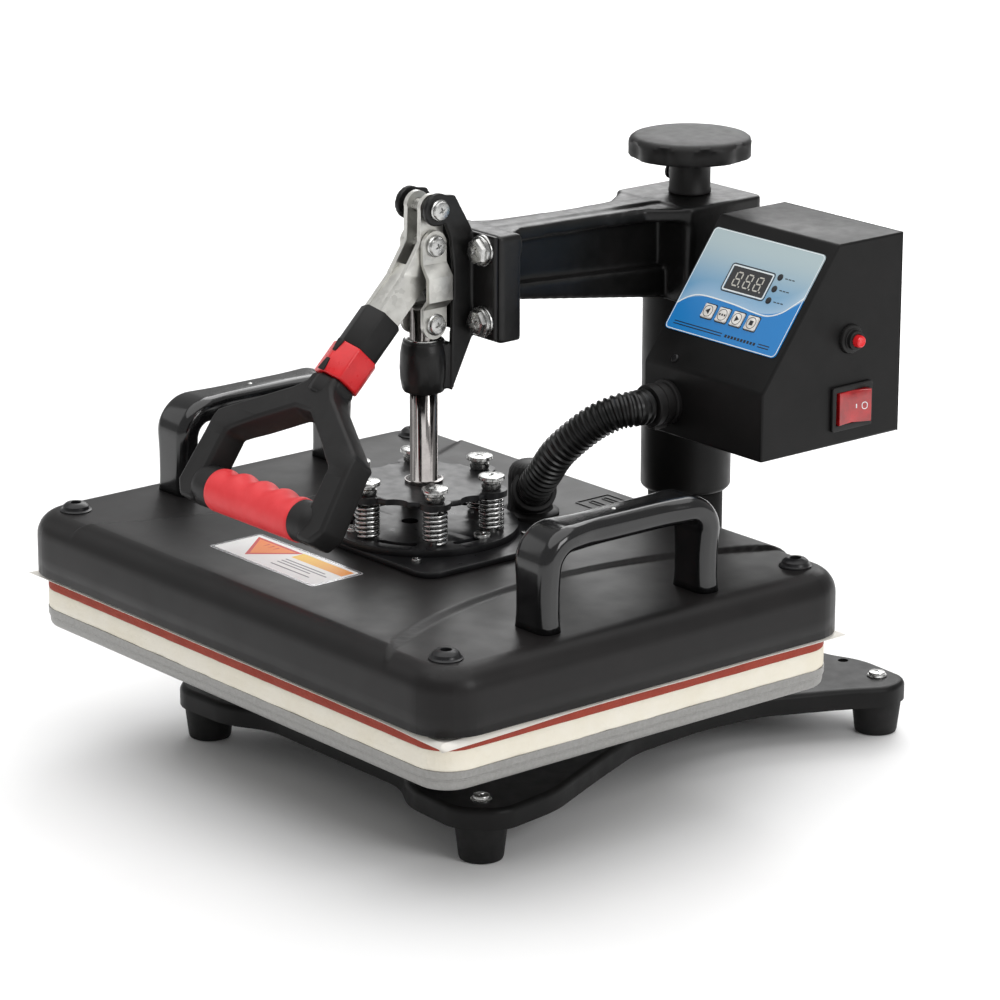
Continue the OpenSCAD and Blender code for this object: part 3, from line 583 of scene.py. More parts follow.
@dataclass(frozen=True)
class CellFoam(Finish):
    """Heat-proof foam with open cells, tan specks and stains, drawn as crumbs a few millimetres across."""

    speck: str = "#b98e4e"
    crumb: float = 2.6

    def paint(self, tree: bpy.types.NodeTree, place: bpy.types.NodeSocket) -> bpy.types.NodeSocket:
        """Adds a few specks over the stained ground: tan stains on the foam, painted shade in the cells of the
        silicone.
        """
        cream = super().paint(tree, place)
        specks = self.blotches(tree, place, self.crumb, 0.71, 0.79)
        return add_node(tree, "ShaderNodeMix", {0: specks, 6: cream, 7: linear(self.speck)},
                        data_type="RGBA").outputs[2]

    def relief(self, tree: bpy.types.NodeTree, place: bpy.types.NodeSocket) -> bpy.types.NodeSocket:
        """Raises the crumbs over the fine cells."""
        fine = super().relief(tree, place)
        crumbs = add_node(tree, "ShaderNodeTexVoronoi", {"Vector": place, "Scale": 1 / (self.crumb * MM)},
                          feature="SMOOTH_F1")
        return add_node(tree, "ShaderNodeBump", {"Height": crumbs.outputs["Distance"], "Distance": 0.35 * MM,
                                                 "Strength": 0.8, "Normal": fine}, invert=True).outputs["Normal"]


@dataclass(frozen=True)
class Woven(Finish):
    """Coated glass cloth: a plain weave under a thin skin. The threads are drawn wider than real ones, to show."""

    thread: float = 0.9

    def relief(self, tree: bpy.types.NodeTree, place: bpy.types.NodeSocket) -> bpy.types.NodeSocket:
        """Raises the threads that run each way."""
        normal = super().relief(tree, place)
        for way in ("X", "Y"):
            threads = add_node(tree, "ShaderNodeTexWave", {"Vector": place, "Scale": 1 / (self.thread * 3.18 * MM)},
                               bands_direction=way)
            normal = add_node(tree, "ShaderNodeBump", {
                "Height": threads.outputs["Fac"], "Distance": 0.03 * MM, "Strength": 0.6,
                "Normal": normal}).outputs["Normal"]
        return normal


@dataclass(frozen=True)
class PrintedFilm(Finish):
    """Printed polyester film on the sloping panel: deep blue at the foot, pale at the head, a lighter wave across."""

    deep: str = "#1c80c8"
    low: tuple[float, float, float] = (58.5, 57.0, 238.5)
    slope: float = 53.67
    width: float = 92.0
    start: float = 22.0
    height: float = 66.0

    def paint(self, tree: bpy.types.NodeTree, place: bpy.types.NodeSocket) -> bpy.types.NodeSocket:
        """Prints the wave and the shade that deepens down the panel."""
        flat = add_node(tree, "ShaderNodeMapping", {
            "Vector": place, "Location": [v * MM for v in self.low], "Rotation": (math.radians(self.slope), 0, 0),
            "Scale": (1, 1, 1)}, vector_type="TEXTURE")
        axes = add_node(tree, "ShaderNodeSeparateXYZ", {"Vector": flat.outputs["Vector"]})
        across = add_node(tree, "ShaderNodeMapRange", {"Value": axes.outputs["X"], "From Max": self.width * MM})
        up = add_node(tree, "ShaderNodeMapRange", {
            "Value": axes.outputs["Y"], "From Min": self.start * MM, "From Max": (self.start + self.height) * MM})
        crest = add_node(tree, "ShaderNodeFloatCurve", {"Value": across.outputs["Result"]})
        line = crest.mapping.curves[0]
        line.points[0].location, line.points[1].location = (0.0, 0.24), (1.0, 0.56)
        for spot in ((0.15, 0.35), (0.5, 0.36), (0.8, 0.37)):
            line.points.new(*spot)
        crest.mapping.update()
        above = add_node(tree, "ShaderNodeMath", {0: up.outputs["Result"], 1: crest.outputs["Value"]},
                         operation="SUBTRACT")
        side = add_node(tree, "ShaderNodeMapRange", {"Value": above.outputs["Value"], "From Min": -0.006,
                                                     "From Max": 0.006})
        glow = add_node(tree, "ShaderNodeMapRange", {"Value": above.outputs["Value"], "From Min": 0.0,
                                                     "From Max": 0.16, "To Min": 0.35, "To Max": 0.0})
        haze = add_node(tree, "ShaderNodeMath", {0: glow.outputs["Result"], 1: side.outputs["Result"]},
                        operation="MULTIPLY")
        shade = add_node(tree, "ShaderNodeMapRange", {"Value": up.outputs["Result"], "From Min": 0.2,
                                                      "From Max": 0.95}, interpolation_type="SMOOTHSTEP")
        ground = add_node(tree, "ShaderNodeMix", {0: shade.outputs["Result"], 6: linear(self.colour),
                                                  7: linear(self.tone)}, data_type="RGBA")
        foot = add_node(tree, "ShaderNodeMix", {0: side.outputs["Result"], 6: linear(self.deep),
                                                7: ground.outputs[2]}, data_type="RGBA")
        return add_node(tree, "ShaderNodeMix", {0: haze.outputs["Value"], 6: foot.outputs[2],
                                                7: linear("#e8f2f8")}, data_type="RGBA").outputs[2]


@dataclass(frozen=True)
class FadedBand(Finish):
    """A printed band that fades from one colour into another along X."""

    start: float = 0.0
    end: float = 1.0

    def paint(self, tree: bpy.types.NodeTree, place: bpy.types.NodeSocket) -> bpy.types.NodeSocket:
        """Fades the band along X."""
        axes = add_node(tree, "ShaderNodeSeparateXYZ", {"Vector": place})
        share = add_node(tree, "ShaderNodeMapRange", {
            "Value": axes.outputs["X"], "From Min": self.start * MM, "From Max": self.end * MM})
        return add_node(tree, "ShaderNodeMix", {0: share.outputs["Result"], 6: linear(self.colour),
                                                7: linear(self.tone)}, data_type="RGBA").outputs[2]


class Coat:
    """Every finish on the press."""

    # Baked powder coat: a satin black skin with the slight orange peel of melted powder.
    COVER = Finish("powder_coated_steel_cover", "black_powder_coat", "#151414", "#1b1919", 0.40, 0.07,
                   specular=0.24, grain=1.1,
                   grain_depth=0.012, blotch=55, wave=30, wave_depth=0.05)
    POWDER = Finish("powder_coated_steel", "black_powder_coat", "#0f0f0f", "#151414", 0.42, 0.1, specular=0.18,
                    grain=1.0,
                    grain_depth=0.015, blotch=30)
    # Enamelled casting: sand-cast lumps softened by a thick glossy coat.
    CAST = Finish("enamelled_cast_iron", "black_powder_coat", "#101010", "#181717", 0.34, 0.12, specular=0.32,
                  grain=0.8,
                  grain_depth=0.03, blotch=18, wave=4, wave_depth=0.12)
    # Black zinc on pressed plate: thin, so the metal's sheen comes through.
    PLATE = Finish("blackened_pressed_steel", "black_powder_coat", "#111112", "#1c1c1e", 0.33, 0.12,
                   specular=0.34, grain=0.7,
                   grain_depth=0.01, blotch=22)
    # Glass-filled nylon, spark-eroded mould: an even matt grain.
    NYLON = Finish("moulded_glass_nylon", "moulded_black", "#141313", "#1b1a1a", 0.5, 0.08, specular=0.3, grain=0.6,
                   grain_depth=0.03, blotch=25)
    # Compression-moulded phenolic: deep black and glossy, with the mould's faint waviness.
    PHENOLIC = Finish("moulded_phenolic", "gloss_black", "#0b0b0c", "#0f0f10", 0.15, 0.06, ior=1.58, grain=1.4,
                      grain_depth=0.006, blotch=28, wave=9, wave_depth=0.03)
    # Bright zinc plate: pale grey, a little milky.
    ZINC = Finish("zinc_plated_steel", "zinc_steel", "#c6c6c4", "#a4a4a3", 0.25, 0.14, metallic=1.0, blotch=7,
                  grain=0.5, grain_depth=0.008)
    # Rolled strap, zinc plated: pale grey with crystals and rub marks that break up its reflections.
    STRAP = RolledSteel("zinc_plated_rolled_strap", "lever_steel", "#d2d1cc", "#bab9b4", 0.40, 0.12, metallic=1.0,
                        blotch=14, grain=0.6, grain_depth=0.015)
    # Hard chrome on ground bar: a mirror with the faintest haze.
    CHROME = Finish("hard_chromed_bar", "chrome", "#9c9896", "#8a8684", 0.14, 0.08, metallic=1.0, blotch=12,
                    grain=0.6, grain_depth=0.002)
    # Plated spring wire: small bright glints along each coil.
    SPRING = Finish("zinc_plated_spring_wire", "zinc_steel", "#cfcfce", "#9e9e9e", 0.22, 0.1, metallic=1.0, blotch=5,
                    grain=0.4, grain_depth=0.004)
    # Aluminium paint: flakes lie in a grey lacquer, so it glints without mirroring.
    SILVER = Finish("aluminium_paint", "silver_paint", "#8b8a87", "#979694", 0.40, 0.1, metallic=0.5, blotch=2.2,
                    grain=0.7, grain_depth=0.008)
    # Sand-cast aluminium: dull grey, with the mould sand's pits.
    ALUMINIUM = Finish("sand_cast_aluminium", "cast_aluminium", "#a9a9a8", "#8d8d8c", 0.45, 0.15, metallic=1.0,
                       blotch=9, grain=0.8, grain_depth=0.05)
    # Sintered bronze: warm brown, with fine pores.
    BRONZE = Finish("sintered_bronze", "bronze", "#b58a4c", "#8f6a38", 0.4, 0.12, metallic=1.0, blotch=6,
                    grain=0.5, grain_depth=0.02)
    # Heater sheath browned by its own heat.
    SHEATH = Finish("oxidised_heater_sheath", "heater_sheath", "#6d655d", "#4b4641", 0.45, 0.2, metallic=1.0,
                    blotch=12, grain=0.6, grain_depth=0.02)
    # Open-cell foam: cream and crumbly, with tan specks.
    FOAM = CellFoam("open_cell_heat_foam", "felt_foam", "#ece7da", "#e6dfcd", 0.92, 0.08, blotch=34, grain=0.8,
                    grain_depth=0.12)
    # Silicone sponge: brick red and chalky. Its darker specks are painted shade in the cells that show at its cut
    # edge, and they are scattered over every face.
    SILICONE = CellFoam("cured_silicone_sponge", "silicone_rubber", "#8f3323", "#9c3c29", 0.78, 0.1, blotch=16,
                        grain=0.7, grain_depth=0.06, speck="#6e2318", crumb=1.4)
    # Coated glass cloth: off-white, with a weave that shows where light grazes it.
    CLOTH = Woven("coated_glass_cloth", "release_cloth", "#f1eee8", "#e6e0d4", 0.5, 0.1, blotch=30, grain=0.5,
                  grain_depth=0.01)
    # Injection-moulded ABS from a polished tool.
    RED = Finish("moulded_red_abs", "red_plastic", "#e02228", "#d01c22", 0.3, 0.08, grain=0.9, grain_depth=0.01,
                 blotch=12)
    # Overmoulded soft grip: a matt elastomer that scatters light a little.
    GRIP = Finish("overmoulded_red_elastomer", "red_grip", "#dd2b31", "#e63b40", 0.52, 0.08, grain=0.5,
                  grain_depth=0.02, blotch=14)
    # Clear red polycarbonate: a deep glossy red.
    LENS = Finish("clear_red_polycarbonate", "red_plastic", "#8c0a0f", "#b8141a", 0.12, 0.04, ior=1.58, grain=1.5,
                  grain_depth=0.004, blotch=10, coat=0.6)
    # Moulded rubber: dusty black, hardly any shine.
    RUBBER = Finish("moulded_natural_rubber", "rubber", "#101010", "#171616", 0.62, 0.12, specular=0.3, grain=0.7,
                    grain_depth=0.03, blotch=12)
    # Extruded polyamide: black, with a soft shine on each crest.
    HOSE = Finish("extruded_polyamide_conduit", "moulded_black", "#0d0d0d", "#141414", 0.34, 0.1, specular=0.4,
                  grain=0.8,
                  grain_depth=0.012, blotch=16)
    # Polyester film printed from behind: even colour under a satin skin.
    FILM = PrintedFilm("printed_polyester_film", "printed_film", "#3c93c8", "#b4c6ca", 0.32, 0.04, grain=0.9,
                       grain_depth=0.003)
    # Screen inks: flat, slightly raised colour.
    INK_WHITE = Finish("white_screen_ink", "printed_film", "#eef3f4", "#e6ecee", 0.4, 0.04, grain=0.8,
                       grain_depth=0.002)
    INK_BLACK = Finish("black_screen_ink", "printed_film", "#16181c", "#1c1f24", 0.4, 0.04, grain=0.8,
                       grain_depth=0.002)
    # Smoked acrylic: dark and clear, so it mirrors the room a little.
    WINDOW = Finish("smoked_acrylic", "smoked_window", "#14161a", "#191b20", 0.12, 0.04, ior=1.49, grain=1.5,
                    grain_depth=0.002)
    # Unlit display segments: pale and flat.
    DIGIT = Finish("pale_display_segments", "smoked_window", "#c9c6bd", "#b9b5aa", 0.4, 0.05, grain=0.6,
                   grain_depth=0.002)
    # Moulded ABS keys: white with a soft shine.
    KEY = Finish("moulded_white_abs", "key_white", "#ece9e4", "#dedad3", 0.35, 0.06, grain=0.6, grain_depth=0.006,
                 blotch=5)
    # Solder mask over copper: green and a little uneven.
    BOARD = Finish("solder_masked_board", "circuit_green", "#1f5a30", "#2b6b3a", 0.35, 0.1, grain=0.8,
                   grain_depth=0.01, blotch=6)
    # Needled glass wool: yellow fibres without shine.
    WOOL = CellFoam("needled_glass_wool", "glass_wool", "#d9c98a", "#cbb973", 0.95, 0.05, grain=1.0,
                    grain_depth=0.3, speck="#b39c55")
    # Metallised label: bright, with a brushed shine, under plain vinyl and printed inks.
    LABEL = Finish("metallised_polyester_label", "silver_paint", "#d9d9da", "#c9c9cc", 0.24, 0.06, metallic=0.7,
                   blotch=12, grain=0.8, grain_depth=0.004)
    LABEL_WHITE = Finish("white_vinyl_label", "silver_paint", "#efefee", "#e6e6e4", 0.36, 0.05, grain=0.9,
                         grain_depth=0.003)
    LABEL_GREY = Finish("grey_label_ink", "silver_paint", "#77777a", "#858588", 0.4, 0.04, grain=0.9,
                        grain_depth=0.002)
    LABEL_RED = Finish("red_label_ink", "silver_paint", "#c32420", "#cf332b", 0.38, 0.04, grain=0.9,
                       grain_depth=0.002)
    LABEL_ORANGE = Finish("orange_label_ink", "silver_paint", "#e87a26", "#ee8b30", 0.38, 0.04, grain=0.9,
                          grain_depth=0.002)
    # Studio paper: nearly white and matt.
    FLOOR = Finish("matt_studio_paper", "silver_paint", "#fbfbfb", "#f7f7f7", 0.8, 0.05, blotch=300, grain=2.0,
                   grain_depth=0.01)


# ---- Sub-assemblies ----


@dataclass
class SubAssembly:
    """A group of pieces that are built together. Lengths are in millimetres."""

    def piece(self, name: str, shape: BMesh, finish: Finish, body: Body | str | None, *nodes: str,
              smooth: float = 35.0) -> bpy.types.Object:
        """Turns a shape into a finished piece.

        Args:
            name: The piece's name.
            shape: Its shape in millimetres, which this frees.
            finish: What it is made of.
            body: The body that it rides on, or None for one that rides on no body.
            *nodes: The CAD nodes that it stands for.
            smooth: The angle past which an edge stays crisp, in degrees.

        Returns:
            The piece's object.
        """
        mesh = bpy.data.meshes.new(name)
        shape.to_mesh(mesh)
        shape.free()
        mesh.transform(Matrix.Scale(MM, 4))
        mesh.shade_smooth()
        mesh.set_sharp_from_angle(angle=math.radians(smooth))
        broad = {edge for face in mesh.polygons if face.loop_total > 4 and face.area > BROAD_FACE
                 for edge in face.edge_keys}
        for edge in mesh.edges:
            edge.use_edge_sharp = edge.use_edge_sharp or edge.key in broad
        mesh.materials.append(finish.material())
        thing = bpy.data.objects.new(name, mesh)
        bpy.context.scene.collection.objects.link(thing)
        if body:
            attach(thing, body.value if isinstance(body, Body) else body)
        if nodes:
            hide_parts(*nodes)
        LOG.info("%s: %d faces on %s", name, len(mesh.polygons), body)
        return thing

    def dress(self, finish: Finish, *nodes: str) -> None:
        """Gives CAD nodes whose shape is right their finish."""
        for node in nodes:
            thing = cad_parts[node]
            thing.data.materials.clear()
            thing.data.materials.append(finish.material())
            LOG.info("%s dressed in %s", node, finish.name)

    def copy_of(self, node: str) -> BMesh:
        """Copies a CAD node's mesh with its doubles merged, in millimetres."""
        shape = bmesh.new()
        shape.from_mesh(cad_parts[node].data)
        bmesh.ops.transform(shape, matrix=Matrix.Scale(1 / MM, 4), verts=shape.verts)
        bmesh.ops.remove_doubles(shape, verts=shape.verts, dist=0.002)
        return shape

    def softened(self, node: str, width: float, segments: int = 2,
                 picks: Callable[[bmesh.types.BMEdge], bool] = longer(3.0)) -> BMesh:
        """Copies a CAD node and rounds its crisp edges.

        Args:
            node: The CAD node.
            width: How far the edges are rounded.
            segments: How many faces the rounding has.
            picks: Chooses among the crisp edges.

        Returns:
            The shape, in millimetres.
        """
        shape = self.copy_of(node)
        bevel(shape, [e for e in sharp(shape, 30) if picks(e)], width, segments)
        return shape

    def through(self, shape: BMesh, kind: str, tool: BMesh | None = None, **settings) -> BMesh:
        """Passes a shape through one modifier.

        Args:
            shape: The shape, which this frees.
            kind: The modifier's type.
            tool: A second shape that a Boolean uses, which this frees.
            **settings: The modifier's own settings.

        Returns:
            The changed shape.
        """
        things = []
        for part in (shape, tool) if tool else (shape,):
            mesh = bpy.data.meshes.new("work")
            part.to_mesh(mesh)
            part.free()
            things.append(bpy.data.objects.new("work", mesh))
            bpy.context.scene.collection.objects.link(things[-1])
        modifier = things[0].modifiers.new("work", kind)
        for name, value in settings.items():
            setattr(modifier, name, value)
        if tool:
            modifier.object = things[1]
        changed = bmesh.new()
        changed.from_mesh(things[0].evaluated_get(bpy.context.evaluated_depsgraph_get()).to_mesh())
        for thing in things:
            mesh = thing.data
            bpy.data.objects.remove(thing)
            bpy.data.meshes.remove(mesh)
        return changed

    def melted(self, shape: BMesh, voxel: float, rounds: int) -> BMesh:
        """Fuses overlapping solids into one cast skin.

        Args:
            shape: The overlapping solids, which this frees.
            voxel: The size of the detail that is kept, in millimetres.
            rounds: How many times the skin is smoothed.

        Returns:
            The fused shape.
        """
        fused = self.through(shape, "REMESH", mode="VOXEL", voxel_size=voxel, adaptivity=0.0)
        for _ in range(rounds):
            bmesh.ops.smooth_vert(fused, verts=fused.verts, factor=0.5, use_axis_x=True, use_axis_y=True,
                                  use_axis_z=True)
        return fused


def rim(width: float, depth: float, corner: float, line: float, height: float) -> BMesh:
    """Makes a thin raised frame, standing on z = 0.

    Args:
        width: Its outer size along X.
        depth: Its outer size along Y.
        corner: The radius of its outer corners.
        line: How wide the frame's line is.
        height: How far it stands up.

    Returns:
        The frame's shape.
    """
    shape = bmesh.new()
    bmesh.ops.create_grid(shape, x_segments=1, y_segments=1, size=0.5)
    bmesh.ops.scale(shape, verts=shape.verts, vec=(width, depth, 1))
    bevel(shape, shape.verts[:], corner, 6, "VERTICES")
    face = shape.faces[:][0]
    bmesh.ops.inset_individual(shape, faces=[face], thickness=line, use_even_offset=True)
    bmesh.ops.delete(shape, geom=[face], context="FACES_ONLY")
    grown = bmesh.ops.extrude_face_region(shape, geom=shape.faces[:], use_keep_orig=True)["geom"]
    bmesh.ops.translate(shape, vec=(0, 0, height), verts=[g for g in grown if isinstance(g, bmesh.types.BMVert)])
    bmesh.ops.recalc_face_normals(shape, faces=shape.faces)
    return shape


@dataclass
class Base(SubAssembly):
    """The pressed base plate on four rubber feet, with the post and the pedestal on it."""

    corner: float = 9.0
    fold: float = 3.5
    outline: tuple[tuple[float, float], ...] = (
        (60, -69), (86, -84), (130, -86), (149, -66), (143, -24), (120, 28), (103, 70), (98, 124), (102, 166),
        (124, 214), (139, 240), (131, 261), (90, 264), (66, 254))
    drills: tuple[float, ...] = (3.25, 3.25, 2.2, 2.2)
    drilled_at: tuple[tuple[float, float], ...] = ((84, 195), (-84, 195), (96, -128), (-96, -128))
    front_foot: tuple[float, float] = (127.0, -122.0)
    rear_foot: tuple[float, float] = (117.0, 191.0)
    post_y: float = 141.0
    platen_y: float = -57.0

    def feet_places(self, z: float) -> list[Matrix]:
        """Places something over each foot, at a height."""
        return [moved(side * x, y, z) for side in (-1, 1) for x, y in (self.front_foot, self.rear_foot)]

    def build(self) -> None:
        """Builds the whole base."""
        self.plate()
        foot = [(0, 0), (11, 0), (12.2, 0.5), (12.7, 2), (14.6, 18), (14.9, 21.6), (10.5, 21.8), (10.5, 31.4),
                (0, 31.4)]
        self.piece("rubber_foot_set", merged(repeated(lambda: lathe(foot, 40), self.feet_places(0))), Coat.RUBBER,
                   Body.BASE, "rubber_feet")
        top = box_mm("base_plate")[1].z
        heads = repeated(lambda: screw_head(5, 3, 1.0), self.feet_places(top))
        heads += repeated(lambda: screw_head(6.5, 5, 1.5, 6), [moved(x, self.post_y + y, top + 8)
                                                              for x in (-26, 26) for y in (-26, 26)])
        heads += repeated(lambda: screw_head(5.5, 4, 1.2, 6), [moved(x, self.platen_y + y, top + 5)
                                                              for x in (-24, 24) for y in (-24, 24)])
        self.piece("base_screw_heads", merged(heads), Coat.ZINC, Body.BASE, "base_screws")
        self.piece("column_post_turned", self.softened("column_post", 1.0, 2), Coat.POWDER, Body.BASE, "column_post",
                   smooth=25)
        self.piece("platen_pedestal_welded", self.softened("platen_pedestal", 0.9, 2), Coat.POWDER, Body.BASE,
                   "platen_pedestal", smooth=25)

    def plate(self) -> None:
        """Folds the plate from its outline, hollow below, and drills it."""
        low, high = box_mm("base_plate")
        points = [(x, y + self.platen_y) for x, y in self.outline]
        points += [(-x, y) for x, y in reversed(points)]
        shape = bmesh.new()
        face = shape.faces.new([shape.verts.new((x, y, low.z)) for x, y in points])
        bevel(shape, shape.verts[:], self.corner, 5, "VERTICES")
        face = shape.faces[:][0]
        stack(shape, face, [(high.z - low.z - self.fold, 0)] + rounding(self.fold, 5))
        closed(shape)
        shape.faces.ensure_lookup_table()
        under = min(shape.faces, key=lambda f: f.calc_center_median().z)
        stack(shape, under, [(0, 2.5), (high.z - low.z - 2.6, 0)])
        closed(shape)
        drill = [lathe([(0, low.z - 2), (r, low.z - 2), (r, high.z + 2), (0, high.z + 2)], 24) for r in self.drills]
        for hole, (x, y) in zip(drill, self.drilled_at):
            put(hole, moved(x, y, 0))
        shape = self.through(shape, "BOOLEAN", merged(drill), operation="DIFFERENCE", solver="EXACT")
        self.piece("base_plate_pressed", shape, Coat.POWDER, Body.BASE, "base_plate")


@dataclass
class LowerPlaten(SubAssembly):
    """The silver tray with its foam and silicone pads and the loose release sheet."""

    corner: float = 20.0
    dice: float = 7.0
    sheet_size: tuple[float, float] = (387.0, 292.0)

    def build(self) -> None:
        """Builds the stack from the tray up."""
        low, high = box_mm("lower_platen")
        size, middle = high - low, (low + high) / 2
        lip = [(4.2, 0), (0.5, 0.5), (0.7, 0), (0.4, 0.4), (2.2, 0)] + rounding(3.5, 5)
        tray = slab(size.x, size.y, self.corner, lip)
        put(tray, moved(middle.x, middle.y, high.z) @ Matrix.Scale(-1, 4, (0, 0, 1)))
        bmesh.ops.recalc_face_normals(tray, faces=tray.faces)
        self.piece("silver_tray", tray, Coat.SILVER, Body.BASE, "lower_platen")
        self.pad("foam_pad", 0.55, Coat.FOAM)
        self.pad("silicone_pad", 0.3, Coat.SILICONE)
        self.sheet()

    def pad(self, node: str, crumble: float, finish: Finish) -> bpy.types.Object:
        """Makes a pad whose cut sides are a little uneven.

        Args:
            node: The CAD pad.
            crumble: How far the sides wander, in millimetres.
            finish: What the pad is made of.

        Returns:
            The pad.
        """
        low, high = box_mm(node)
        size, middle = high - low, (low + high) / 2
        tall = size.z - 1.2
        shape = slab(size.x - 1, size.y - 1, self.corner, [(0.6, -0.3)] + [(tall / 4, 0)] * 4 + [(0.6, 0.3)])
        diced(shape, *(span(-side / 2 + 3, side / 2 - 3, self.dice) for side in (size.x, size.y)))
        put(shape, moved(middle.x, middle.y, low.z))
        for vert in shape.verts:
            out = Vector((vert.co.x - middle.x, vert.co.y - middle.y, 0))
            edge = max(abs(out.x) - size.x / 2 + 3, abs(out.y) - size.y / 2 + 3)
            if edge > 0:
                rough = noise.noise(vert.co * 0.16) + 0.6 * noise.noise(vert.co * 0.5)
                vert.co += out.normalized() * rough * crumble
        return self.piece(node + "_soft", shape, finish, Body.BASE, node)

    def sheet(self) -> None:
        """Lays the release sheet, whose edge hangs past the pads and curls down at the near corner."""
        low, high = box_mm("release_sheet")
        middle = (low + high) / 2
        width, depth = self.sheet_size
        pad_high = box_mm("silicone_pad")[1]
        shape = bmesh.new()
        bmesh.ops.create_grid(shape, x_segments=130, y_segments=98, size=0.5)
        bmesh.ops.scale(shape, verts=shape.verts, vec=(width, depth, 1))
        put(shape, moved(middle.x, middle.y, high.z - 0.1))
        for vert in shape.verts:
            past = max(abs(vert.co.x - middle.x) - (pad_high.x - middle.x), abs(vert.co.y - middle.y)
                       - (pad_high.y - middle.y), 0.0)
            corner = smooth_step(150, 210, vert.co.x - middle.x - (vert.co.y - middle.y) * 0.55 - 60)
            ripple = 0.5 + 0.5 * noise.noise(Vector((vert.co.x, vert.co.y, 0)) * 0.02)
            vert.co.z -= min(past, 4.0) * (0.15 + 0.35 * ripple + 0.9 * corner)
        sheet = self.piece("release_sheet_loose", shape, Coat.CLOTH, Body.BASE, "release_sheet")
        thick = sheet.modifiers.new("thickness", "SOLIDIFY")
        thick.thickness, thick.offset = 0.3 * MM, -1.0


@dataclass
class UpperPlaten(SubAssembly):
    """The deep-drawn cover over the heater, with its handles, screws and label."""

    corner: float = 27.0
    edge: float = 14.0
    crown: float = 2.0
    skirt: float = 3.4
    arc_centre: float = 376.0
    arc_radius: float = 272.0
    middle_y: float = -57.0
    screw_at: tuple[float, float] = (172.0, 126.0)
    label_box: tuple[float, float, float, float] = (-61.0, 36.0, -168.0, -131.0)
    label_z: float = 143.0

    def build(self) -> None:
        """Builds the cover and everything on it."""
        self.cover()
        self.handles()
        self.screws()
        self.label()
        self.embossing()
        self.dress(Coat.ALUMINIUM, "heating_platen", "cover_posts")
        self.dress(Coat.SHEATH, "heating_element")
        self.dress(Coat.WOOL, "insulation")

    def cover(self) -> None:
        """Draws the cover: round shoulders, and a crown between two arched steps."""
        low, high = box_mm("cover_shell")
        wall = high.z - low.z - self.crown - self.edge + self.skirt
        shape = slab(high.x - low.x, high.y - low.y, self.corner, [(wall * 0.5, 0), (wall * 0.5, 0)]
                     + rounding(self.edge, 9), 10)
        bmesh.ops.delete(shape, geom=[f for f in shape.faces if f.calc_center_median().z < 0.01],
                         context="FACES_ONLY")
        near = span(97, 151, 1.2)
        far = span(4, 92, 8) + span(158, 192, 8)
        cuts = [s * x for s in (-1, 1) for x in near + far]
        diced(shape, cuts + [0.0], span(-143, 143, 6))
        put(shape, moved(0, self.middle_y, low.z - self.skirt))
        shoulder = high.z - self.crown - self.edge
        for vert in shape.verts:
            y = vert.co.y - self.middle_y
            bound = self.arc_centre - math.sqrt(self.arc_radius ** 2 - y * y)
            inside = smooth_step(-1.6, 1.6, bound - abs(vert.co.x))
            vert.co.z += self.crown * inside * smooth_step(shoulder + 5, shoulder + 13.5, vert.co.z)
        cover = self.piece("drawn_cover", shape, Coat.COVER, Body.HEAD, "cover_shell", smooth=50)
        wall_mod = cover.modifiers.new("wall", "SOLIDIFY")
        wall_mod.thickness, wall_mod.offset = 2 * MM, -1.0

    def handles(self) -> None:
        """Swells the handles' corners, narrows their bars and flares their feet."""
        low, high = box_mm("carry_handles")
        shape = self.copy_of("carry_handles")
        for z in span(low.z + 4, high.z - 4, 5):
            bmesh.ops.bisect_plane(shape, geom=shape.verts[:] + shape.edges[:] + shape.faces[:], dist=1e-4,
                                   plane_co=(0, 0, z), plane_no=(0, 0, 1))
        diced(shape, [], [self.middle_y + y for y in span(-45, 45, 5)])
        for vert in shape.verts:
            side = 165.0 if vert.co.x > 0 else -165.0
            y = abs(vert.co.y - self.middle_y)
            bend = math.hypot(y - 57, vert.co.z - (high.z - 7.5))
            swell = 1 + 0.14 * smooth_step(30, 8, bend) if bend < 30 else 1.0
            slim = 1 - 0.10 * smooth_step(40, 20, y) if y < 40 else 1.0
            flare = 1 + 0.10 * (1 - smooth_step(0, 7, vert.co.z - low.z))
            vert.co.x = side + (vert.co.x - side) * swell * slim * flare
        self.piece("carry_handle_pair", shape, Coat.PHENOLIC, Body.HEAD, "carry_handles", smooth=50)

    def screws(self) -> None:
        """Adds the dark socket screws of the cover and the bright ones of the plates."""
        x, y = self.screw_at
        dome = [(0, 0), (9.4, 0), (9.4, 0.8), (8.2, 1.2), (7.9, 1.5), (7.5, 3.2), (5.8, 4.7), (3.4, 5.1), (3.1, 4.9),
                (3.0, 2.4), (0, 2.2)]
        places = [moved(sx * x, self.middle_y + sy * y, 140.8) for sx in (-1, 1) for sy in (-1, 1)]
        self.piece("cover_screw_domes", merged(repeated(lambda: lathe(dome, 36), places)), Coat.PLATE, Body.HEAD,
                   "head_screws")
        pivot = self.middle_y - 3
        small = repeated(lambda: screw_head(2.8, 1.2), [moved(sx * 43, pivot + sy * 40, 146.5)
                                                       for sx in (-1, 1) for sy in (-1, 1)])
        turns = [math.radians(t + 11) for t in (-120, 0, 120)]
        small += repeated(lambda: screw_head(5, 2.4), [moved(43 * math.cos(t), pivot + 43 * math.sin(t), 150.4)
                                                      for t in turns])
        self.piece("plate_screw_heads", merged(small), Coat.ZINC, Body.HEAD)
        rivet = [(0, 0), (1.6, 0), (1.5, 0.6), (0.8, 1.0), (0, 1.1)]
        spots = [moved(165, self.middle_y - 4, 197.6), moved(-165, self.middle_y - 4, 197.6)]
        self.piece("handle_rivets", merged(repeated(lambda: lathe(rivet, 16), spots)), Coat.ZINC, Body.HEAD)

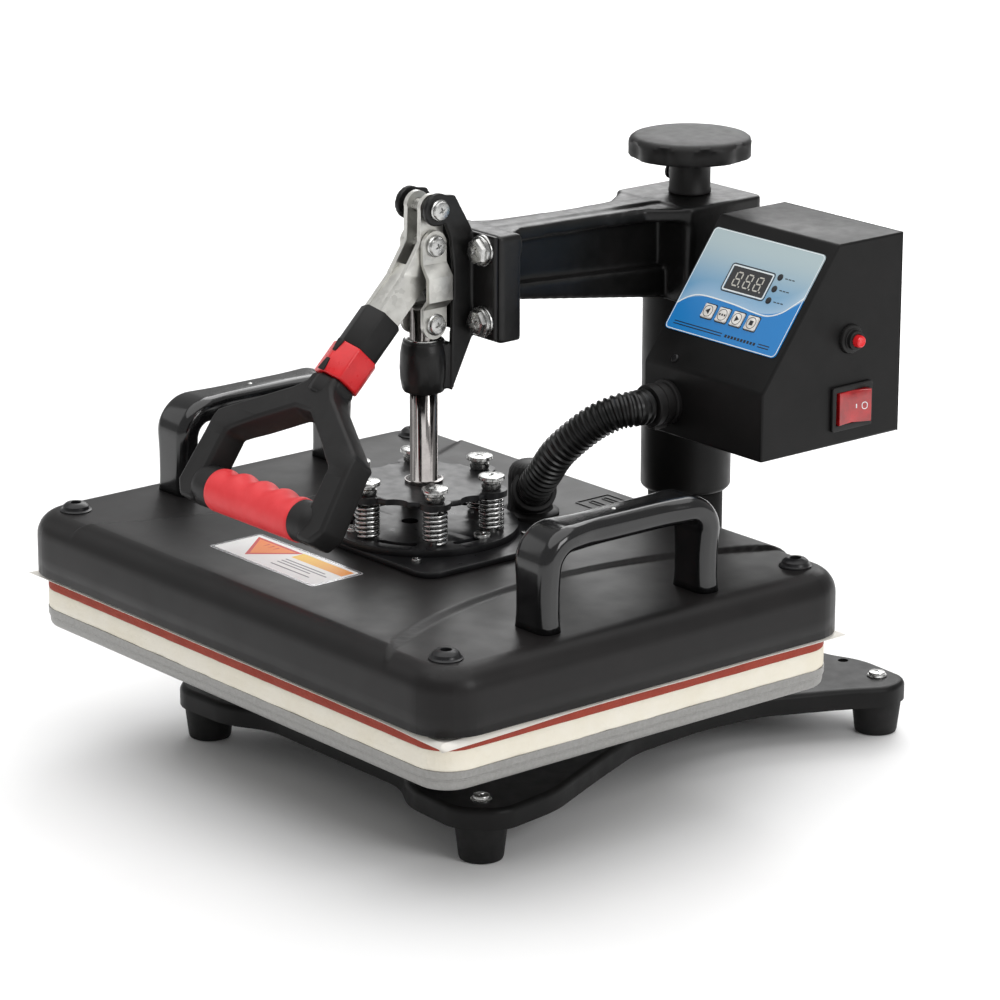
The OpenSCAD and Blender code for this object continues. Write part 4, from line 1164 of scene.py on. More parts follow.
    def label(self) -> None:
        """Sticks on the label: a triangle, a coloured band and rules, with no words."""
        x0, x1, y0, y1 = self.label_box
        wide, deep = x1 - x0, y1 - y0
        base = moved((x0 + x1) / 2, (y0 + y1) / 2, self.label_z)
        self.piece("label_plate", put(slab(wide, deep, 2.5, [(0.15, 0), (0.05, 0.2)]), base), Coat.LABEL, Body.HEAD)
        self.piece("label_edge", put(rim(wide - 1.6, deep - 1.6, 2.2, 0.6, 0.24), base), Coat.INK_BLACK, Body.HEAD)
        self.piece("label_field", put(slab(wide - 4.5, deep - 4.5, 1.6, [(0.24, 0)]), base), Coat.LABEL_WHITE,
                   Body.HEAD)
        left = x0 + 26
        top = y1 - 5
        big = [(left - 21, top), (left + 21, top), (left, top - 25.5)]
        small = [(left - 17, top - 2), (left + 17, top - 2), (left, top - 22)]
        self.piece("label_triangle_edge", put(prism(big, 0.1), moved(0, 0, self.label_z + 0.28)), Coat.LABEL_RED,
                   Body.HEAD)
        self.piece("label_triangle", put(prism(small, 0.1), moved(0, 0, self.label_z + 0.34)), Coat.LABEL_ORANGE,
                   Body.HEAD)
        flames = [prism([(left - 6 + 4.5 * i, top - 4), (left - 4.6 + 4.5 * i, top - 4),
                         (left - 5.3 + 4.5 * i, top - 9)], 0.1) for i in range(3)]
        self.piece("label_flames", put(merged(flames), moved(0, 0, self.label_z + 0.4)), Coat.LABEL_RED, Body.HEAD)
        band = [(x1 - 50, y1 - 13.5), (x1 - 4, y1 - 13.5), (x1 - 4, y1 - 4.5), (x1 - 50, y1 - 4.5)]
        fade = FadedBand("yellow_label_ink", "silver_paint", "#f3c93a", "#ea8f22", 0.38, 0.04, grain=0.9,
                         grain_depth=0.002, start=x1 - 50, end=x1 - 4)
        self.piece("label_band", put(prism(band, 0.1), moved(0, 0, self.label_z + 0.28)), fade, Body.HEAD)
        rules = [put(slab(length, 0.9, 0, [(0.1, 0)]), moved(x1 - 49 + length / 2, y1 - drop, self.label_z + 0.24))
                 for length, drop in ((36, 18), (41, 21), (30, 24), (35, 28.5))]
        self.piece("label_rules", merged(rules), Coat.LABEL_GREY, Body.HEAD)

    def embossing(self) -> None:
        """Raises the plain pressed frame behind the elbow."""
        place = moved(32, self.middle_y + 118, 142.8)
        frames = [put(rim(52, 26, 1.5, 1.0, 0.7), place), put(rim(44, 4, 1.2, 0.8, 0.7), place @ moved(0, 6, 0)),
                  put(rim(44, 4, 1.2, 0.8, 0.7), place @ moved(0, -4, 0))]
        self.piece("pressed_frame", merged(frames), Coat.COVER, Body.HEAD)


@dataclass
class SpringHead(SubAssembly):
    """The star plate on six sprung bolts, over the round and square plates."""

    pivot: tuple[float, float] = (0.0, -60.0)
    circle: float = 41.0
    coil: float = 6.2
    wire: float = 1.1
    turns: float = 7.0

    def around(self, z: float) -> list[Matrix]:
        """Places something at each bolt, at a height."""
        angles = [math.radians(30 + 60 * k) for k in range(6)]
        x, y = self.pivot
        return [moved(x + self.circle * math.cos(a), y + self.circle * math.sin(a), z)
                @ Matrix.Rotation(a, 4, "Z") for a in angles]

    def spring(self, rise: float) -> BMesh:
        """Winds one spring, its ends closed flat."""
        shape = bmesh.new()
        ring = bmesh.ops.create_circle(shape, radius=self.wire, segments=8, matrix=moved(self.coil, 0, 0)
                                       @ Matrix.Rotation(math.pi / 2, 4, "X"))
        edges = {e for v in ring["verts"] for e in v.link_edges}
        steps = int(self.turns * 24)
        bmesh.ops.spin(shape, geom=ring["verts"] + list(edges), cent=(0, 0, 0), axis=(0, 0, 1),
                       dvec=(0, 0, rise / steps), angle=2 * math.pi * self.turns, steps=steps)
        return closed(shape)

    def build(self) -> None:
        """Builds the plates, the springs and their bolts."""
        plates = (("star_plate", Body.PLUNGER), ("round_plate", Body.HEAD), ("square_plate", Body.HEAD))
        for node, body in plates:
            shape = self.softened(node, 0.7, 2, lambda e: e.calc_length() > 1.2
                                  and abs(e.verts[0].co.z - e.verts[1].co.z) < 0.1)
            self.piece(node + "_pressed", shape, Coat.PLATE, body, node, smooth=25)
        low, high = box_mm("springs")
        rise = high.z - low.z - 2 * self.wire
        springs = self.piece("spring_set", merged(repeated(lambda: self.spring(rise),
                             self.around(low.z + self.wire))),
                             Coat.SPRING, Body.HEAD, "springs", smooth=60)
        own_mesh(springs)
        neck = [(0, 146.6), (3.5, 146.6), (3.5, 175.5), (5.2, 175.5), (5.6, 176.2), (5.6, 178.4), (4.9, 179),
                (4.9, 180),
                (6.4, 180.6), (7.6, 181.1), (0, 181.1)]
        bolts = repeated(lambda: lathe(neck, 28), self.around(0))
        bolts += repeated(lambda: screw_head(7.6, 2.3, sides=24), self.around(181.0))
        self.piece("spring_bolt_set", merged(bolts), Coat.ZINC, Body.HEAD, "spring_bolts")


@dataclass
class ToggleClamp(SubAssembly):
    """The toggle: its black frame, the plated levers and links, the plunger and their fasteners."""

    axis_y: float = -60.0
    pivots: tuple[float, float, float] = (335.7, 314.6, 269.3)
    bolt_zs: tuple[float, float] = (270.0, 311.0)
    bolt_x: float = 24.0
    face_y: float = -36.0

    def build(self) -> None:
        """Builds the whole clamp."""
        barrel = put(self.barrel(), moved(0, self.axis_y, 0))
        frame_shape = self.melted(self.copy_of("toggle_frame"), 0.7, 3)
        self.piece("toggle_frame_cast", frame_shape, Coat.CAST, Body.ARM, "toggle_frame", smooth=60)
        self.piece("guide_barrel", barrel, Coat.CAST, Body.ARM)
        rim_ring = lathe([(8.2, 257), (10.4, 257), (10.4, 259.6), (8.2, 259.6), (8.2, 257)], 40)
        self.piece("barrel_rim", put(rim_ring, moved(0, self.axis_y, 0)), Coat.ZINC, Body.ARM)
        self.piece("lever_strap_pair", self.softened("lever_plates", 0.45, 2, longer(0.9)),
                   Coat.STRAP, Body.LEVER, "lever_plates", smooth=25)
        self.piece("link_strap_pair", self.softened("link_plates", 0.45, 2, longer(0.9)),
                   Coat.STRAP, Body.LINK, "link_plates", smooth=25)
        self.piece("plunger_ground", self.softened("plunger_shaft", 0.3, 1, longer(5)),
                   Coat.CHROME, Body.PLUNGER, "plunger_shaft", smooth=25)
        self.lever_ridge()
        self.rivets()
        self.bolts()

    def lever_ridge(self) -> None:
        """Closes the two lever straps along their upper edge, as one folded bar."""
        droop = math.radians(44.5)
        away = Matrix(((0, 1, 0), (-math.cos(droop), 0, -math.sin(droop)), (-math.sin(droop), 0, math.cos(droop))))
        ridge = bmesh.new()
        bmesh.ops.create_cube(ridge, size=1.0, matrix=Matrix.Diagonal((46, 14.6, 3.2, 1)))
        bevel(ridge, sharp(ridge, 40), 0.8, 2)
        place = moved(0, self.axis_y, self.pivots[1] - 8) @ away.to_4x4() @ moved(34, 0, 6.6)
        self.piece("lever_ridge", put(ridge, place), Coat.STRAP, Body.LEVER)

    def barrel(self) -> BMesh:
        """Turns the plunger's guide, swollen at its middle."""
        return lathe([(8.3, 229), (11.4, 229), (12.3, 230.6), (13.3, 236), (13.7, 243), (13.4, 251), (12.4, 256.5),
                      (11.4, 258), (8.3, 258), (8.3, 229)], 48)

    def rivet(self) -> BMesh:
        """Makes a pan-headed rivet with its cross."""
        return merged([screw_head(5.4, 2.7), lathe([(0, -0.8), (6.2, -0.8), (6.2, 0.3), (5.6, 0.7), (0, 0.7)], 24)])

    def rivets(self) -> None:
        """Puts a rivet's head on each side of every pivot."""
        sets = (("pivot_pin_top", self.pivots[0], Body.ARM, 14.0), ("pivot_pin_middle", self.pivots[1],
                Body.LEVER, 10.7),
                ("link_rivets", self.pivots[2], Body.LINK, 10.5))
        for node, z, body, face in sets:
            heads = [put(self.rivet(), facing((side * (face + 0.8), self.axis_y, z), way, 20))
                     for side, way in ((1, Axis.RIGHT), (-1, Axis.LEFT))]
            if node == "link_rivets":
                heads += [put(lathe([(0, 8), (4, 8), (4, 10.6), (0, 10.6)], 20), facing((0, self.axis_y, z), way))
                          for way in (Axis.RIGHT, Axis.LEFT)]
            else:
                heads.append(put(lathe([(0, -face), (4, -face), (4, face), (0, face)], 24),
                                 facing((0, self.axis_y, z), Axis.RIGHT)))
            self.piece(node + "_heads", merged(heads), Coat.ZINC, body, node)

    def bolts(self) -> None:
        """Bolts the frame to the arm with flanged hexagon heads."""
        found = []
        for index, (x, z) in enumerate((s * self.bolt_x, z) for s in (-1, 1) for z in self.bolt_zs):
            place = facing((x, self.face_y, z), Axis.FRONT, 17 * index)
            washer = [(0, 0), (8.9, 0), (9, 0.3), (9, 1.3), (8.8, 1.6), (7.9, 1.7), (7.9, 3), (0, 3)]
            found += [put(lathe(washer, 40), place), put(screw_head(7.6, 4.4, 0.9, 6), place @ moved(0, 0, 2.6))]
        self.piece("frame_bolt_heads", merged(found), Coat.ZINC, Body.ARM, "frame_bolts")


@dataclass
class HandLever(SubAssembly):
    """The hand lever: black socket, red collar, open frame and a red finger grip.

    Its own frame starts at the collar's end, with X out along the lever and Y across the press.
    """

    start: tuple[float, float, float] = (0.0, -123.5, 244.2)
    droop: float = 44.6
    bend_at: float = 44.3
    bend_by: float = 11.7
    thick: float = 18.0
    grip_at: tuple[float, float] = (-175.0, 183.0)
    grip_half: float = 38.5

    def along(self) -> Matrix:
        """Gives the lever's own frame: X out along it, Y across, Z square to its face."""
        s, c = math.sin(math.radians(self.droop)), math.cos(math.radians(self.droop))
        turn = Matrix(((0, 1, 0), (-c, 0, -s), (-s, 0, c))).to_4x4()
        return Matrix.Translation(self.start) @ turn

    def section(self) -> Matrix:
        """Gives a frame for sections drawn across the lever: Z out along it."""
        return self.along() @ Matrix(((0, 0, 1), (1, 0, 0), (0, 1, 0))).to_4x4()

    def build(self) -> None:
        """Builds the lever from its socket to its grip."""
        self.sleeve()
        self.open_frame()
        self.grip()

    def sleeve(self) -> None:
        """Makes the socket and the wider collar, both with a flat ridge on top."""
        outline = [(0, 12.6), (10.6, 7.6), (11.2, -6), (7.6, -10.6), (-7.6, -10.6), (-11.2, -6), (-10.6, 7.6)]
        socket = put(prism(outline, 26, 1.0), self.section() @ moved(0, 0, -33.5))
        wide = [(x * 1.1, y * 1.1) for x, y in outline]
        collar = put(prism(wide, 21, 1.2, 3), self.section() @ moved(0, 0, -10.5))
        self.piece("lever_socket", socket, Coat.NYLON, Body.LEVER, "handle_socket")
        self.piece("lever_collar", collar, Coat.RED, Body.LEVER, "handle_collar")
        wedge = [(0, 2.6), (0, -2.6), (8, -1.2), (8, 1.2)]
        tongues = [prism(wedge, 1.2, 0.3), put(prism(wedge, 1.2, 0.3), moved(-21, 0, 0))]
        put(tongues[0], Matrix.Rotation(math.pi, 4, "Z"))
        self.piece("collar_tongues", put(merged(tongues), self.along() @ moved(0, 0, 13.5)), Coat.NYLON, Body.LEVER)

    def open_frame(self) -> None:
        """Cuts the open frame from a thick bar, bends it and adds the stubs that hold the grip."""
        half = [(0, 10.5), (6, 11.5), (12, 18), (39.5, 63.2), (84, 66.8), (92, 60), (92, 48), (49.2, 47), (24, 7)]
        outline = half + [(x, -y) for x, y in reversed(half)]
        shape = prism(outline, self.thick, 2.4, 3)
        diced(shape, span(self.bend_at - 8, self.bend_at + 8, 2), [])
        for vert in shape.verts:
            turn = math.radians(self.bend_by) * smooth_step(self.bend_at - 8, self.bend_at + 8, vert.co.x)
            out = vert.co.x - self.bend_at
            if out > -8:
                vert.co.x = self.bend_at + out * math.cos(turn) + vert.co.z * math.sin(turn)
                vert.co.z = -out * math.sin(turn) + vert.co.z * math.cos(turn) if out > 0 else vert.co.z
        put(shape, self.along())
        stub = [(0, 37.5), (11.4, 37.5), (12, 38.2), (12, 48), (11.4, 51), (9.6, 53.5), (7, 55), (0, 55)]
        stubs = [put(lathe(stub, 32), facing((0, *self.grip_at), way)) for way in (Axis.RIGHT, Axis.LEFT)]
        neck = put(prism([(0, 12), (11.4, 6.4), (11.8, -6.6), (8, -11), (-8, -11), (-11.8, -6.6), (-11.4,
                   6.4)], 12, 2, 3),
                   self.section() @ moved(0, 0, 6.2))
        self.piece("lever_open_frame", merged([shape, neck] + stubs), Coat.NYLON, Body.LEVER, "handle_frame")

    def grip(self) -> None:
        """Turns the grip, with four finger hollows on the side towards the lever."""
        ends = self.grip_half
        profile = [(0, -ends), (11.2, -ends)] + [(12.6, x) for x in span(-ends + 1.2, ends - 1.2, 1.6)]
        profile += [(11.2, ends), (0, ends)]
        shape = lathe(profile, 48)
        put(shape, facing((0, 0, 0), Axis.RIGHT))
        inward = Vector((0, math.cos(math.radians(56)), math.sin(math.radians(56))))
        for vert in shape.verts:
            out = Vector((0, vert.co.y, vert.co.z))
            if out.length > 5:
                face = max(0.0, out.normalized().dot(inward))
                wave = math.cos(2 * math.pi * vert.co.x / 18.5) * smooth_step(ends, ends - 8, abs(vert.co.x))
                vert.co += out.normalized() * (1.6 * wave - 0.5) * face ** 1.5
        put(shape, moved(0, *self.grip_at))
        self.piece("finger_grip", shape, Coat.GRIP, Body.LEVER, "handle_grip", smooth=60)


@dataclass
class ArmAndColumn(SubAssembly):
    """The swinging arm, its sleeve over the post, the lead screw and the pressure knob."""

    post_y: float = 141.0
    knob_radius: float = 36.5
    hollows: int = 9
    hollow_radius: float = 12.0
    hollow_at: float = 45.5

    def build(self) -> None:
        """Builds the arm and what it carries."""
        self.arm()
        self.piece("sleeve_rolled", self.softened("sleeve_tube", 0.8, 2, longer(1)), Coat.POWDER,
                   Body.ARM, "sleeve_tube", smooth=25)
        self.knob()
        self.dress(Coat.BRONZE, "sleeve_bushes")
        self.dress(Coat.ZINC, "lead_screw", "lift_bearing")
        self.dress(Coat.PLATE, "knob_set_screw")

    def arm(self) -> None:
        """Casts the arm: hub, web, front plate and a top flange that narrows along it."""
        top = [(-35, -33), (35, -33), (35, -16), (20, -12), (13.5, 0), (12.5, 60), (16, 92), (26, 106), (33, 113),
               (33, 118), (-33, 118), (-33, 113), (-26, 106), (-16, 92), (-12.5, 60), (-13.5, 0), (-20, -12),
               (-35, -16)]
        flange = put(prism(top, 8), moved(0, 0, 313))
        for vert in flange.verts:
            vert.co.z -= 3.0 * smooth_step(-16, 110, vert.co.y)
        body = self.softened("arm_casting", 3.0, 3, longer(40))
        shape = self.melted(merged([body, flange]), 1.1, 7)
        self.piece("arm_cast", shape, Coat.CAST, Body.ARM, "arm_casting", smooth=60)

    def knob(self) -> None:
        """Moulds the knob, with finger hollows round its rim, over its collar."""
        low = box_mm("pressure_knob")[0]
        outline = []
        for index in range(180):
            angle = 2 * math.pi * index / 180
            turns = [angle - math.radians(12) - 2 * math.pi * k / self.hollows + math.pi
                     for k in range(self.hollows)]
            gap = min(abs(turn % (2 * math.pi) - math.pi) for turn in turns)
            side = self.hollow_at * math.sin(gap)
            reach = self.knob_radius
            if side < self.hollow_radius:
                reach = min(reach, self.hollow_at * math.cos(gap) - math.sqrt(self.hollow_radius ** 2 - side ** 2))
            outline.append(reach)
        smoothed = [sum(outline[(i + k) % 180] for k in (-3, -2, -1, 0, 1, 2, 3)) / 7 for i in range(180)]
        shape = lathe([(0, 0), (33.5, 0), (35.6, 0.5), (36.5, 1.6), (36.5, 5), (36.5, 8), (36.2, 9.6), (35.4, 11),
                       (34, 12.1), (31.5, 12.8), (24, 13.2), (10, 13.4), (0, 13.4)], 180)
        for vert in shape.verts:
            reach = math.hypot(vert.co.x, vert.co.y)
            if reach > 20:
                bound = smoothed[round(math.degrees(math.atan2(vert.co.y, vert.co.x)) / 2) % 180]
                slack = 2.6 * smooth_step(7.5, 12.5, vert.co.z)
                low_cut = 0.6 * (1 - smooth_step(0, 1.5, vert.co.z))
                wanted = min(reach, bound + slack - low_cut)
                vert.co.x, vert.co.y = vert.co.x * wanted / reach, vert.co.y * wanted / reach
        put(shape, moved(0, self.post_y, 337.0))
        collar = lathe([(0, low.z), (12, low.z), (12.6, low.z + 0.6), (12.6, low.z + 2.5), (12.2, low.z + 3),
                        (12.2, 336), (13.5, 338), (0, 338)], 48)
        put(collar, moved(0, self.post_y, 0))
        self.piece("pressure_knob_moulded", merged([shape, collar]), Coat.NYLON, Body.KNOB, "pressure_knob",
                   smooth=40)


@dataclass
class ControlBox(SubAssembly):
    """The folded control box with its sloping panel, switch, breaker and inlet."""

    foot: tuple[float, float] = (57.0, 238.5)
    slope: float = 53.67
    side_x: float = 155.0
    film_top: float = 0.6
    display: tuple[float, float] = (103.5, 61.0)
    keys_x: tuple[float, ...] = (86.0, 98.0, 110.0, 122.0)
    key_y: float = 38.0
    key_top: float = 1.5

    def panel(self, x: float, y: float, z: float) -> Matrix:
        """Places something on the panel: x across, y up the slope, z out of it."""
        return moved(0, *self.foot) @ Matrix.Rotation(math.radians(self.slope), 4, "X") @ moved(x, y, z)

    def side(self, y: float, z: float, out: float = 0.0) -> Matrix:
        """Places something on the right side, drawn as seen from there."""
        turn = Matrix(((0, 0, 1), (1, 0, 0), (0, 1, 0))).to_4x4()
        return moved(self.side_x, y, z) @ turn @ moved(0, 0, out)

    def build(self) -> None:
        """Builds the box and everything on it."""
        shell = self.softened("control_box_shell", 1.4, 3, longer(38))
        self.piece("folded_shell", shell, Coat.POWDER, Body.ARM, "control_box_shell", smooth=20)
        self.dress(Coat.POWDER, "control_box_back", "box_bracket")
        self.dress(Coat.PLATE, "box_screws")
        self.dress(Coat.FILM, "panel_overlay")
        self.dress(Coat.WINDOW, "display_module")
        self.dress(Coat.INK_BLACK, "indicator_lamps")
        self.dress(Coat.BOARD, "circuit_board")
        self.prints()
        self.digits()
        self.keys()
        self.switches()
        self.inlet()

    def prints(self) -> None:
        """Prints the panel's border, rules and lamp marks."""
        top = self.film_top
        white = [put(rim(91.4, 65.4, 3, 0.5, 0.05), self.panel(104.5, 55, top)),
                 put(rim(34, 16.3, 1.6, 0.8, 0.12), self.panel(*self.display, top))]
        wave = smooth_path([(58.9, 38, 0), (66, 43.6, 0), (76, 46.3, 0), (100, 46, 0), (118, 44.6, 0), (130, 44.6, 0),
                            (139, 48.5, 0), (145, 54.5, 0), (150.1, 60.5, 0)], 10)
        line = tube(wave, lambda i: 0.42, 8)
        bmesh.ops.scale(line, vec=(1, 1, 0.2), verts=line.verts)
        white.append(put(line, self.panel(0, 0, top + 0.03)))
        self.piece("panel_white_print", merged(white), Coat.INK_WHITE, Body.ARM)
        dark = [put(rim(36, 18.2, 2.2, 0.7, 0.06), self.panel(*self.display, top))]
        for x0, x1, y in ((64, 104, 27.6), (64, 104, 26.0), (134, 143, 27.6), (134, 143, 26.0)):
            dark.append(put(slab(x1 - x0, 0.55, 0, [(0.06, 0)]), self.panel((x0 + x1) / 2, y, top)))
        for y in (53.6, 61.0, 68.5):
            lamp = lathe([(0, 0), (2.1, 0), (2.1, 0.1), (1.7, 0.3), (0, 0.4)], 24)
            dark.append(put(lamp, self.panel(125.3, y, top)))
            dark += [put(slab(2.0, 0.6, 0, [(0.06, 0)]), self.panel(130.4 + 2.8 * k, y, top)) for k in range(3)]
        dark += [put(rim(9.9, 9.9, 1.2, 0.5, 0.06), self.panel(x, self.key_y, top)) for x in self.keys_x]
        dark += [put(slab(1.7, 1.7, 0, [(0.06, 0)]), self.panel(107.5 + 2.6 * k, 26.8, top)) for k in range(10)]
        self.piece("panel_dark_print", merged(dark), Coat.INK_BLACK, Body.ARM)

    def digits(self) -> None:
        """Lays three seven-segment figures with their points in the window."""
        bars = []
        for index in range(3):
            x = self.display[0] - 8.6 + 8.6 * index
            for level in (-4.2, 0.0, 4.2):
                bars.append(put(slab(3.6, 0.85, 0.3, [(0.05, 0)], 2), moved(x + level * 0.12, level, 0)))
            for side in (-2.3, 2.3):
                for level in (-2.1, 2.1):
                    bars.append(put(slab(0.85, 3.4, 0.3, [(0.05, 0)], 2), moved(x + side + level * 0.12, level, 0)))
            bars.append(put(lathe([(0, 0), (0.55, 0), (0.55, 0.05), (0, 0.05)], 12), moved(x + 3.5, -4.4, 0)))
        shape = merged(bars)
        put(shape, self.panel(0, self.display[1], self.film_top + 0.02))
        self.piece("display_segments", shape, Coat.DIGIT, Body.ARM)

    def keys(self) -> None:
        """Dresses the four keys and marks each with its sign."""
        signs = {
            "key_back": [[(-1.9, 0), (1.2, 1.9), (1.2, -1.9)]],
            "key_set": [[(x - 0.6, -0.6), (x + 0.6, -0.6), (x + 0.6, 0.6), (x - 0.6, 0.6)]
                        for x in (-2.0, 0.0, 2.0)],
            "key_next": [[(1.9, 0), (-1.2, -1.9), (-1.2, 1.9)]],
            "key_stop": [[(-1.4, -1.4), (1.4, -1.4), (1.4, 1.4), (-1.4, 1.4)]],
        }
        for (node, marks), x in zip(signs.items(), self.keys_x):
            self.piece(node + "_cap", self.softened(node, 0.5, 2, longer(0.2)), Coat.KEY,
                       node, node,
                       smooth=25)
            shapes = [put(rim(7.2, 7.2, 3.5, 0.35, 0.05), self.panel(x, self.key_y, self.key_top))]
            shapes += [put(prism(mark, 0.06), self.panel(x, self.key_y, self.key_top + 0.03)) for mark in marks]
            self.piece(node + "_sign", merged(shapes), Coat.INK_BLACK, node)

    def switches(self) -> None:
        """Builds the breaker's bushing and button, and the rocker in its frame."""
        bushing = lathe([(0, -26), (8, -26), (8, -1.5), (5.4, -1.5), (5.4, 0), (8.6, 0), (8.6, 1.4), (8.0,
                         2.2), (6.3, 2.5),
                         (6.3, 3.1), (5.7, 3.3), (5.7, 5.8), (5.2, 6.2), (3.9, 6.2), (3.9, 4.5), (0, 4.5)], 60)
        for vert in bushing.verts:
            reach = math.hypot(vert.co.x, vert.co.y)
            if reach > 8.2 and round(math.degrees(math.atan2(vert.co.y, vert.co.x)) / 6) % 2:
                vert.co.x, vert.co.y = vert.co.x * 0.95, vert.co.y * 0.95
        at = self.side(124, 260)
        self.piece("breaker_bushing", put(bushing, at), Coat.NYLON, Body.ARM, "breaker_body")
        button = lathe([(0, -1.8), (3.5, -1.8), (3.5, 8.2), (3.2, 9.3), (2.4, 9.8), (2.0, 9.6), (0, 9.5)], 32)
        self.piece("breaker_dome", put(button, at), Coat.RED, Body.BREAKER, "breaker_button")
        self.piece("rocker_bezel", self.softened("switch_frame", 0.5, 2, longer(8)), Coat.NYLON,
                   Body.ARM, "switch_frame", smooth=25)
        self.piece("rocker_lens", self.softened("switch_rocker", 0.5, 2, longer(8)), Coat.LENS,
                   Body.ROCKER, "switch_rocker", smooth=25)
        tilt = Matrix.Rotation(-math.atan2(4.6, 11), 4, "Y")
        face = self.side(125.5, 220.5) @ moved(0, 0, 1.6) @ tilt
        marks = [put(rim(3.6, 4.4, 1.75, 0.45, 0.06), face @ moved(7.6, 0, 0.0)),
                 put(slab(0.6, 2.4, 0, [(0.06, 0)]), face @ moved(2.6, 0, 0.0))]
        self.piece("rocker_marks", merged(marks), Coat.INK_WHITE, Body.ROCKER)

    def inlet(self) -> None:
        """Adds the three blades inside the mains inlet."""
        self.dress(Coat.NYLON, "power_inlet")
        low, high = box_mm("power_inlet")
        middle = (low + high) / 2
        blades = [put(slab(2, 4, 0, [(13, 0), (1, 0.6)]), moved(middle.x + x, high.y - 16, middle.z + z)
                      @ Matrix.Rotation(-math.pi / 2, 4, "X")) for x, z in ((-7, -2), (0, 3), (7, -2))]
        self.piece("inlet_blades", merged(blades), Coat.ZINC, Body.ARM)


@dataclass
class Conduit(SubAssembly):
    """The corrugated conduit from the elbow on the cover to the gland on the box."""

    elbow_at: tuple[float, float] = (6.0, 14.0)
    outlet_z: float = 152.0
    outlet_way: tuple[float, float, float] = (0.7094, -0.4096, 0.5736)
    gland_at: tuple[float, float, float] = (76.0, 57.0, 218.0)
    crest: float = 10.3
    root: float = 9.1
    pitch: float = 3.4
    route: tuple[tuple[float, float, float], ...] = (
        (19.1, 6.4, 162.6), (25.5, 2.7, 167.8), (34, 1, 176), (46, 2.5, 192), (60, 13, 208), (70, 23, 216),
        (75.6, 33, 218), (76, 41.2, 218))

    def build(self) -> None:
        """Builds the elbow, the conduit and the gland."""
        self.elbow()
        points = evenly(smooth_path(self.route, 12), self.pitch / 4)
        steps = (self.crest, self.crest, self.root, self.root)
        hose = self.piece("corrugated_conduit", tube(points, lambda i: steps[i % 4], 28), Coat.HOSE, None,
                          "conduit_hose", smooth=30)
        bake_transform(hose)
        self.gland()

    def elbow(self) -> None:
        """Moulds the ribbed dome on its disc and the ringed outlet."""
        body = lathe([(0, 143), (17, 143), (17.2, 145), (16, 146), (13.6, 146.6), (12.8, 149), (12.8, 166),
                      (12.2, 170),
                      (10.4, 173), (7, 174.8), (0, 175.2)], 72)
        for vert in body.verts:
            turn = round(math.degrees(math.atan2(vert.co.y, vert.co.x)) / 5)
            if 147 < vert.co.z < 171 and turn % 3 == 0:
                vert.co.x, vert.co.y = vert.co.x * 0.965, vert.co.y * 0.965
        put(body, moved(*self.elbow_at, 0))
        outlet = lathe([(0, 0), (11.9, 0), (11.9, 11.5), (13.2, 12.2), (13.2, 16.6), (12.6, 17), (10.8, 17),
                        (10.8, 14),
                        (0, 14)], 48)
        put(outlet, facing((*self.elbow_at, self.outlet_z), Vector(self.outlet_way)))
        self.piece("conduit_elbow_moulded", merged([body, outlet]), Coat.NYLON, Body.HEAD, "conduit_elbow")

    def gland(self) -> None:
        """Moulds the ringed gland and its clip."""
        shape = lathe([(0, -5), (9, -5), (9, 0), (13, 0), (13, 2.2), (12.4, 2.8), (11.3, 3), (11.3, 4.4), (12, 4.8),
                       (12, 8.6), (11.4, 9), (11.4, 9.8), (12.3, 10.2), (12.3, 14.2), (11.6, 15), (0, 15)], 48)
        clip = put(slab(7, 3.2, 0.6, [(9, 0), (0.6, 0.6)], 3), moved(0, -12.4, 3))
        ribs = [put(slab(0.9, 3.8, 0, [(8, 0)]), moved(x, -12.4, 3.4)) for x in (-2.2, 0, 2.2)]
        whole = put(merged([shape, clip] + ribs), facing(self.gland_at, Axis.FRONT))
        self.piece("conduit_gland_moulded", whole, Coat.NYLON, Body.ARM, "conduit_gland")


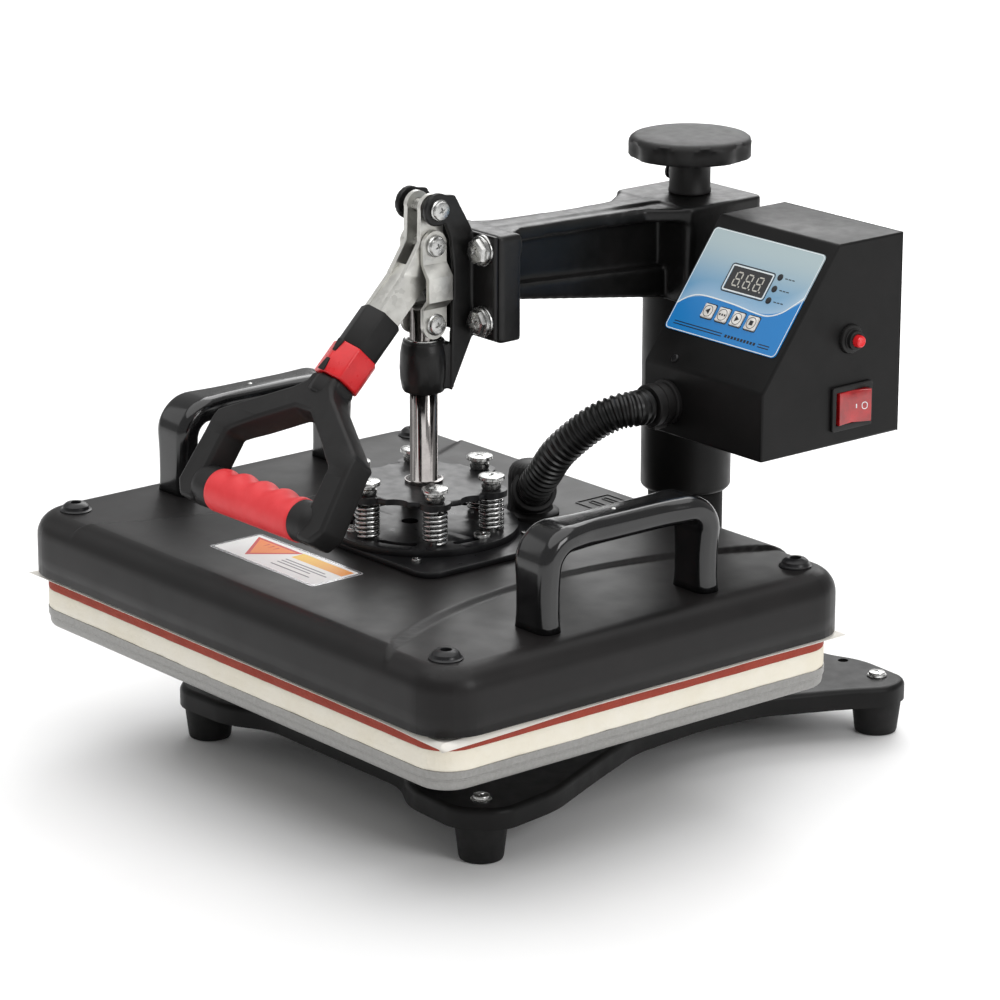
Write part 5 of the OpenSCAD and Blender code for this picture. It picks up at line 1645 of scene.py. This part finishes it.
@dataclass
class Studio:
    """The pale floor, the soft lights and the camera. Lengths are in metres."""

    lens: float = 154.38
    azimuth: float = 50.327
    elevation: float = 16.845
    roll: float = 0.12
    distance: float = 2.43343
    target: tuple[float, float, float] = (0.03827, -0.03543, 0.16814)

    def build(self) -> None:
        """Sets up everything that isn't the press."""
        self.camera()
        self.floor()
        self.light("softbox_back", (-1.2, 1.6, 1.5), (0, 0, 0.1), 1.6, 26)
        self.light("softbox_left", (-1.9, -1.2, 1.3), (0, 0, 0.15), 1.2, 3)
        self.light("softbox_right", (2.3, 0.3, 1.3), (0, 0, 0.15), 1.0, 17)
        self.sun()
        world = bpy.data.worlds.new("studio_world")
        bpy.context.scene.world = world
        world.use_nodes = True
        sky = world.node_tree.nodes["Background"]
        sky.inputs["Color"].default_value = (1, 1, 1, 1)
        sky.inputs["Strength"].default_value = 0.4
        bpy.context.scene.view_settings.view_transform = "Standard"

    def stand(self, name: str, data: bpy.types.ID) -> bpy.types.Object:
        """Adds an object to the scene."""
        thing = bpy.data.objects.new(name, data)
        bpy.context.scene.collection.objects.link(thing)
        return thing

    def sun(self) -> None:
        """Hangs a very wide overhead light, which keeps the floor evenly pale."""
        data = bpy.data.lights.new("overhead", "SUN")
        data.energy, data.angle = 1.9, math.radians(80)
        self.stand("overhead", data)

    def camera(self) -> None:
        """Stands the camera at the fitted angle."""
        a, e = math.radians(self.azimuth), math.radians(self.elevation)
        back = Vector((math.sin(a) * math.cos(e), -math.cos(a) * math.cos(e), math.sin(e)))
        data = bpy.data.cameras.new("camera")
        data.lens, data.sensor_width, data.clip_end = self.lens, 36, 50
        thing = self.stand("camera", data)
        place = back.to_track_quat("Z", "Y").to_matrix().to_4x4() @ Matrix.Rotation(math.radians(self.roll), 4, "Z")
        thing.matrix_world = Matrix.Translation(Vector(self.target) + back * self.distance) @ place
        bpy.context.scene.camera = thing

    def floor(self) -> None:
        """Lays the floor."""
        shape = bmesh.new()
        bmesh.ops.create_grid(shape, x_segments=1, y_segments=1, size=12)
        mesh = bpy.data.meshes.new("floor")
        shape.to_mesh(mesh)
        shape.free()
        mesh.materials.append(Coat.FLOOR.material())
        thing = self.stand("floor", mesh)

    def light(self, name: str, at: Sequence[float], aim: Sequence[float], size: float, power: float) -> None:
        """Hangs a soft square light.

        Args:
            name: Its name.
            at: Where it hangs.
            aim: The point that it faces.
            size: The length of its sides.
            power: Its power in watts.
        """
        data = bpy.data.lights.new(name, "AREA")
        data.size, data.energy = size, power
        thing = self.stand(name, data)
        way = Vector(at) - Vector(aim)
        thing.matrix_world = Matrix.Translation(at) @ way.to_track_quat("Z", "Y").to_matrix().to_4x4()


def main() -> None:
    """Builds the press from the floor up, then the studio round it."""
    logging.basicConfig(level=logging.INFO, format="%(name)s: %(message)s")
    for part in (Base(), LowerPlaten(), UpperPlaten(), SpringHead(), ToggleClamp(), HandLever(), ArmAndColumn(),
                 ControlBox(), Conduit(), Studio()):
        LOG.info("building %s", type(part).__name__)
        part.build()


if __name__ == "__main__":
    main()
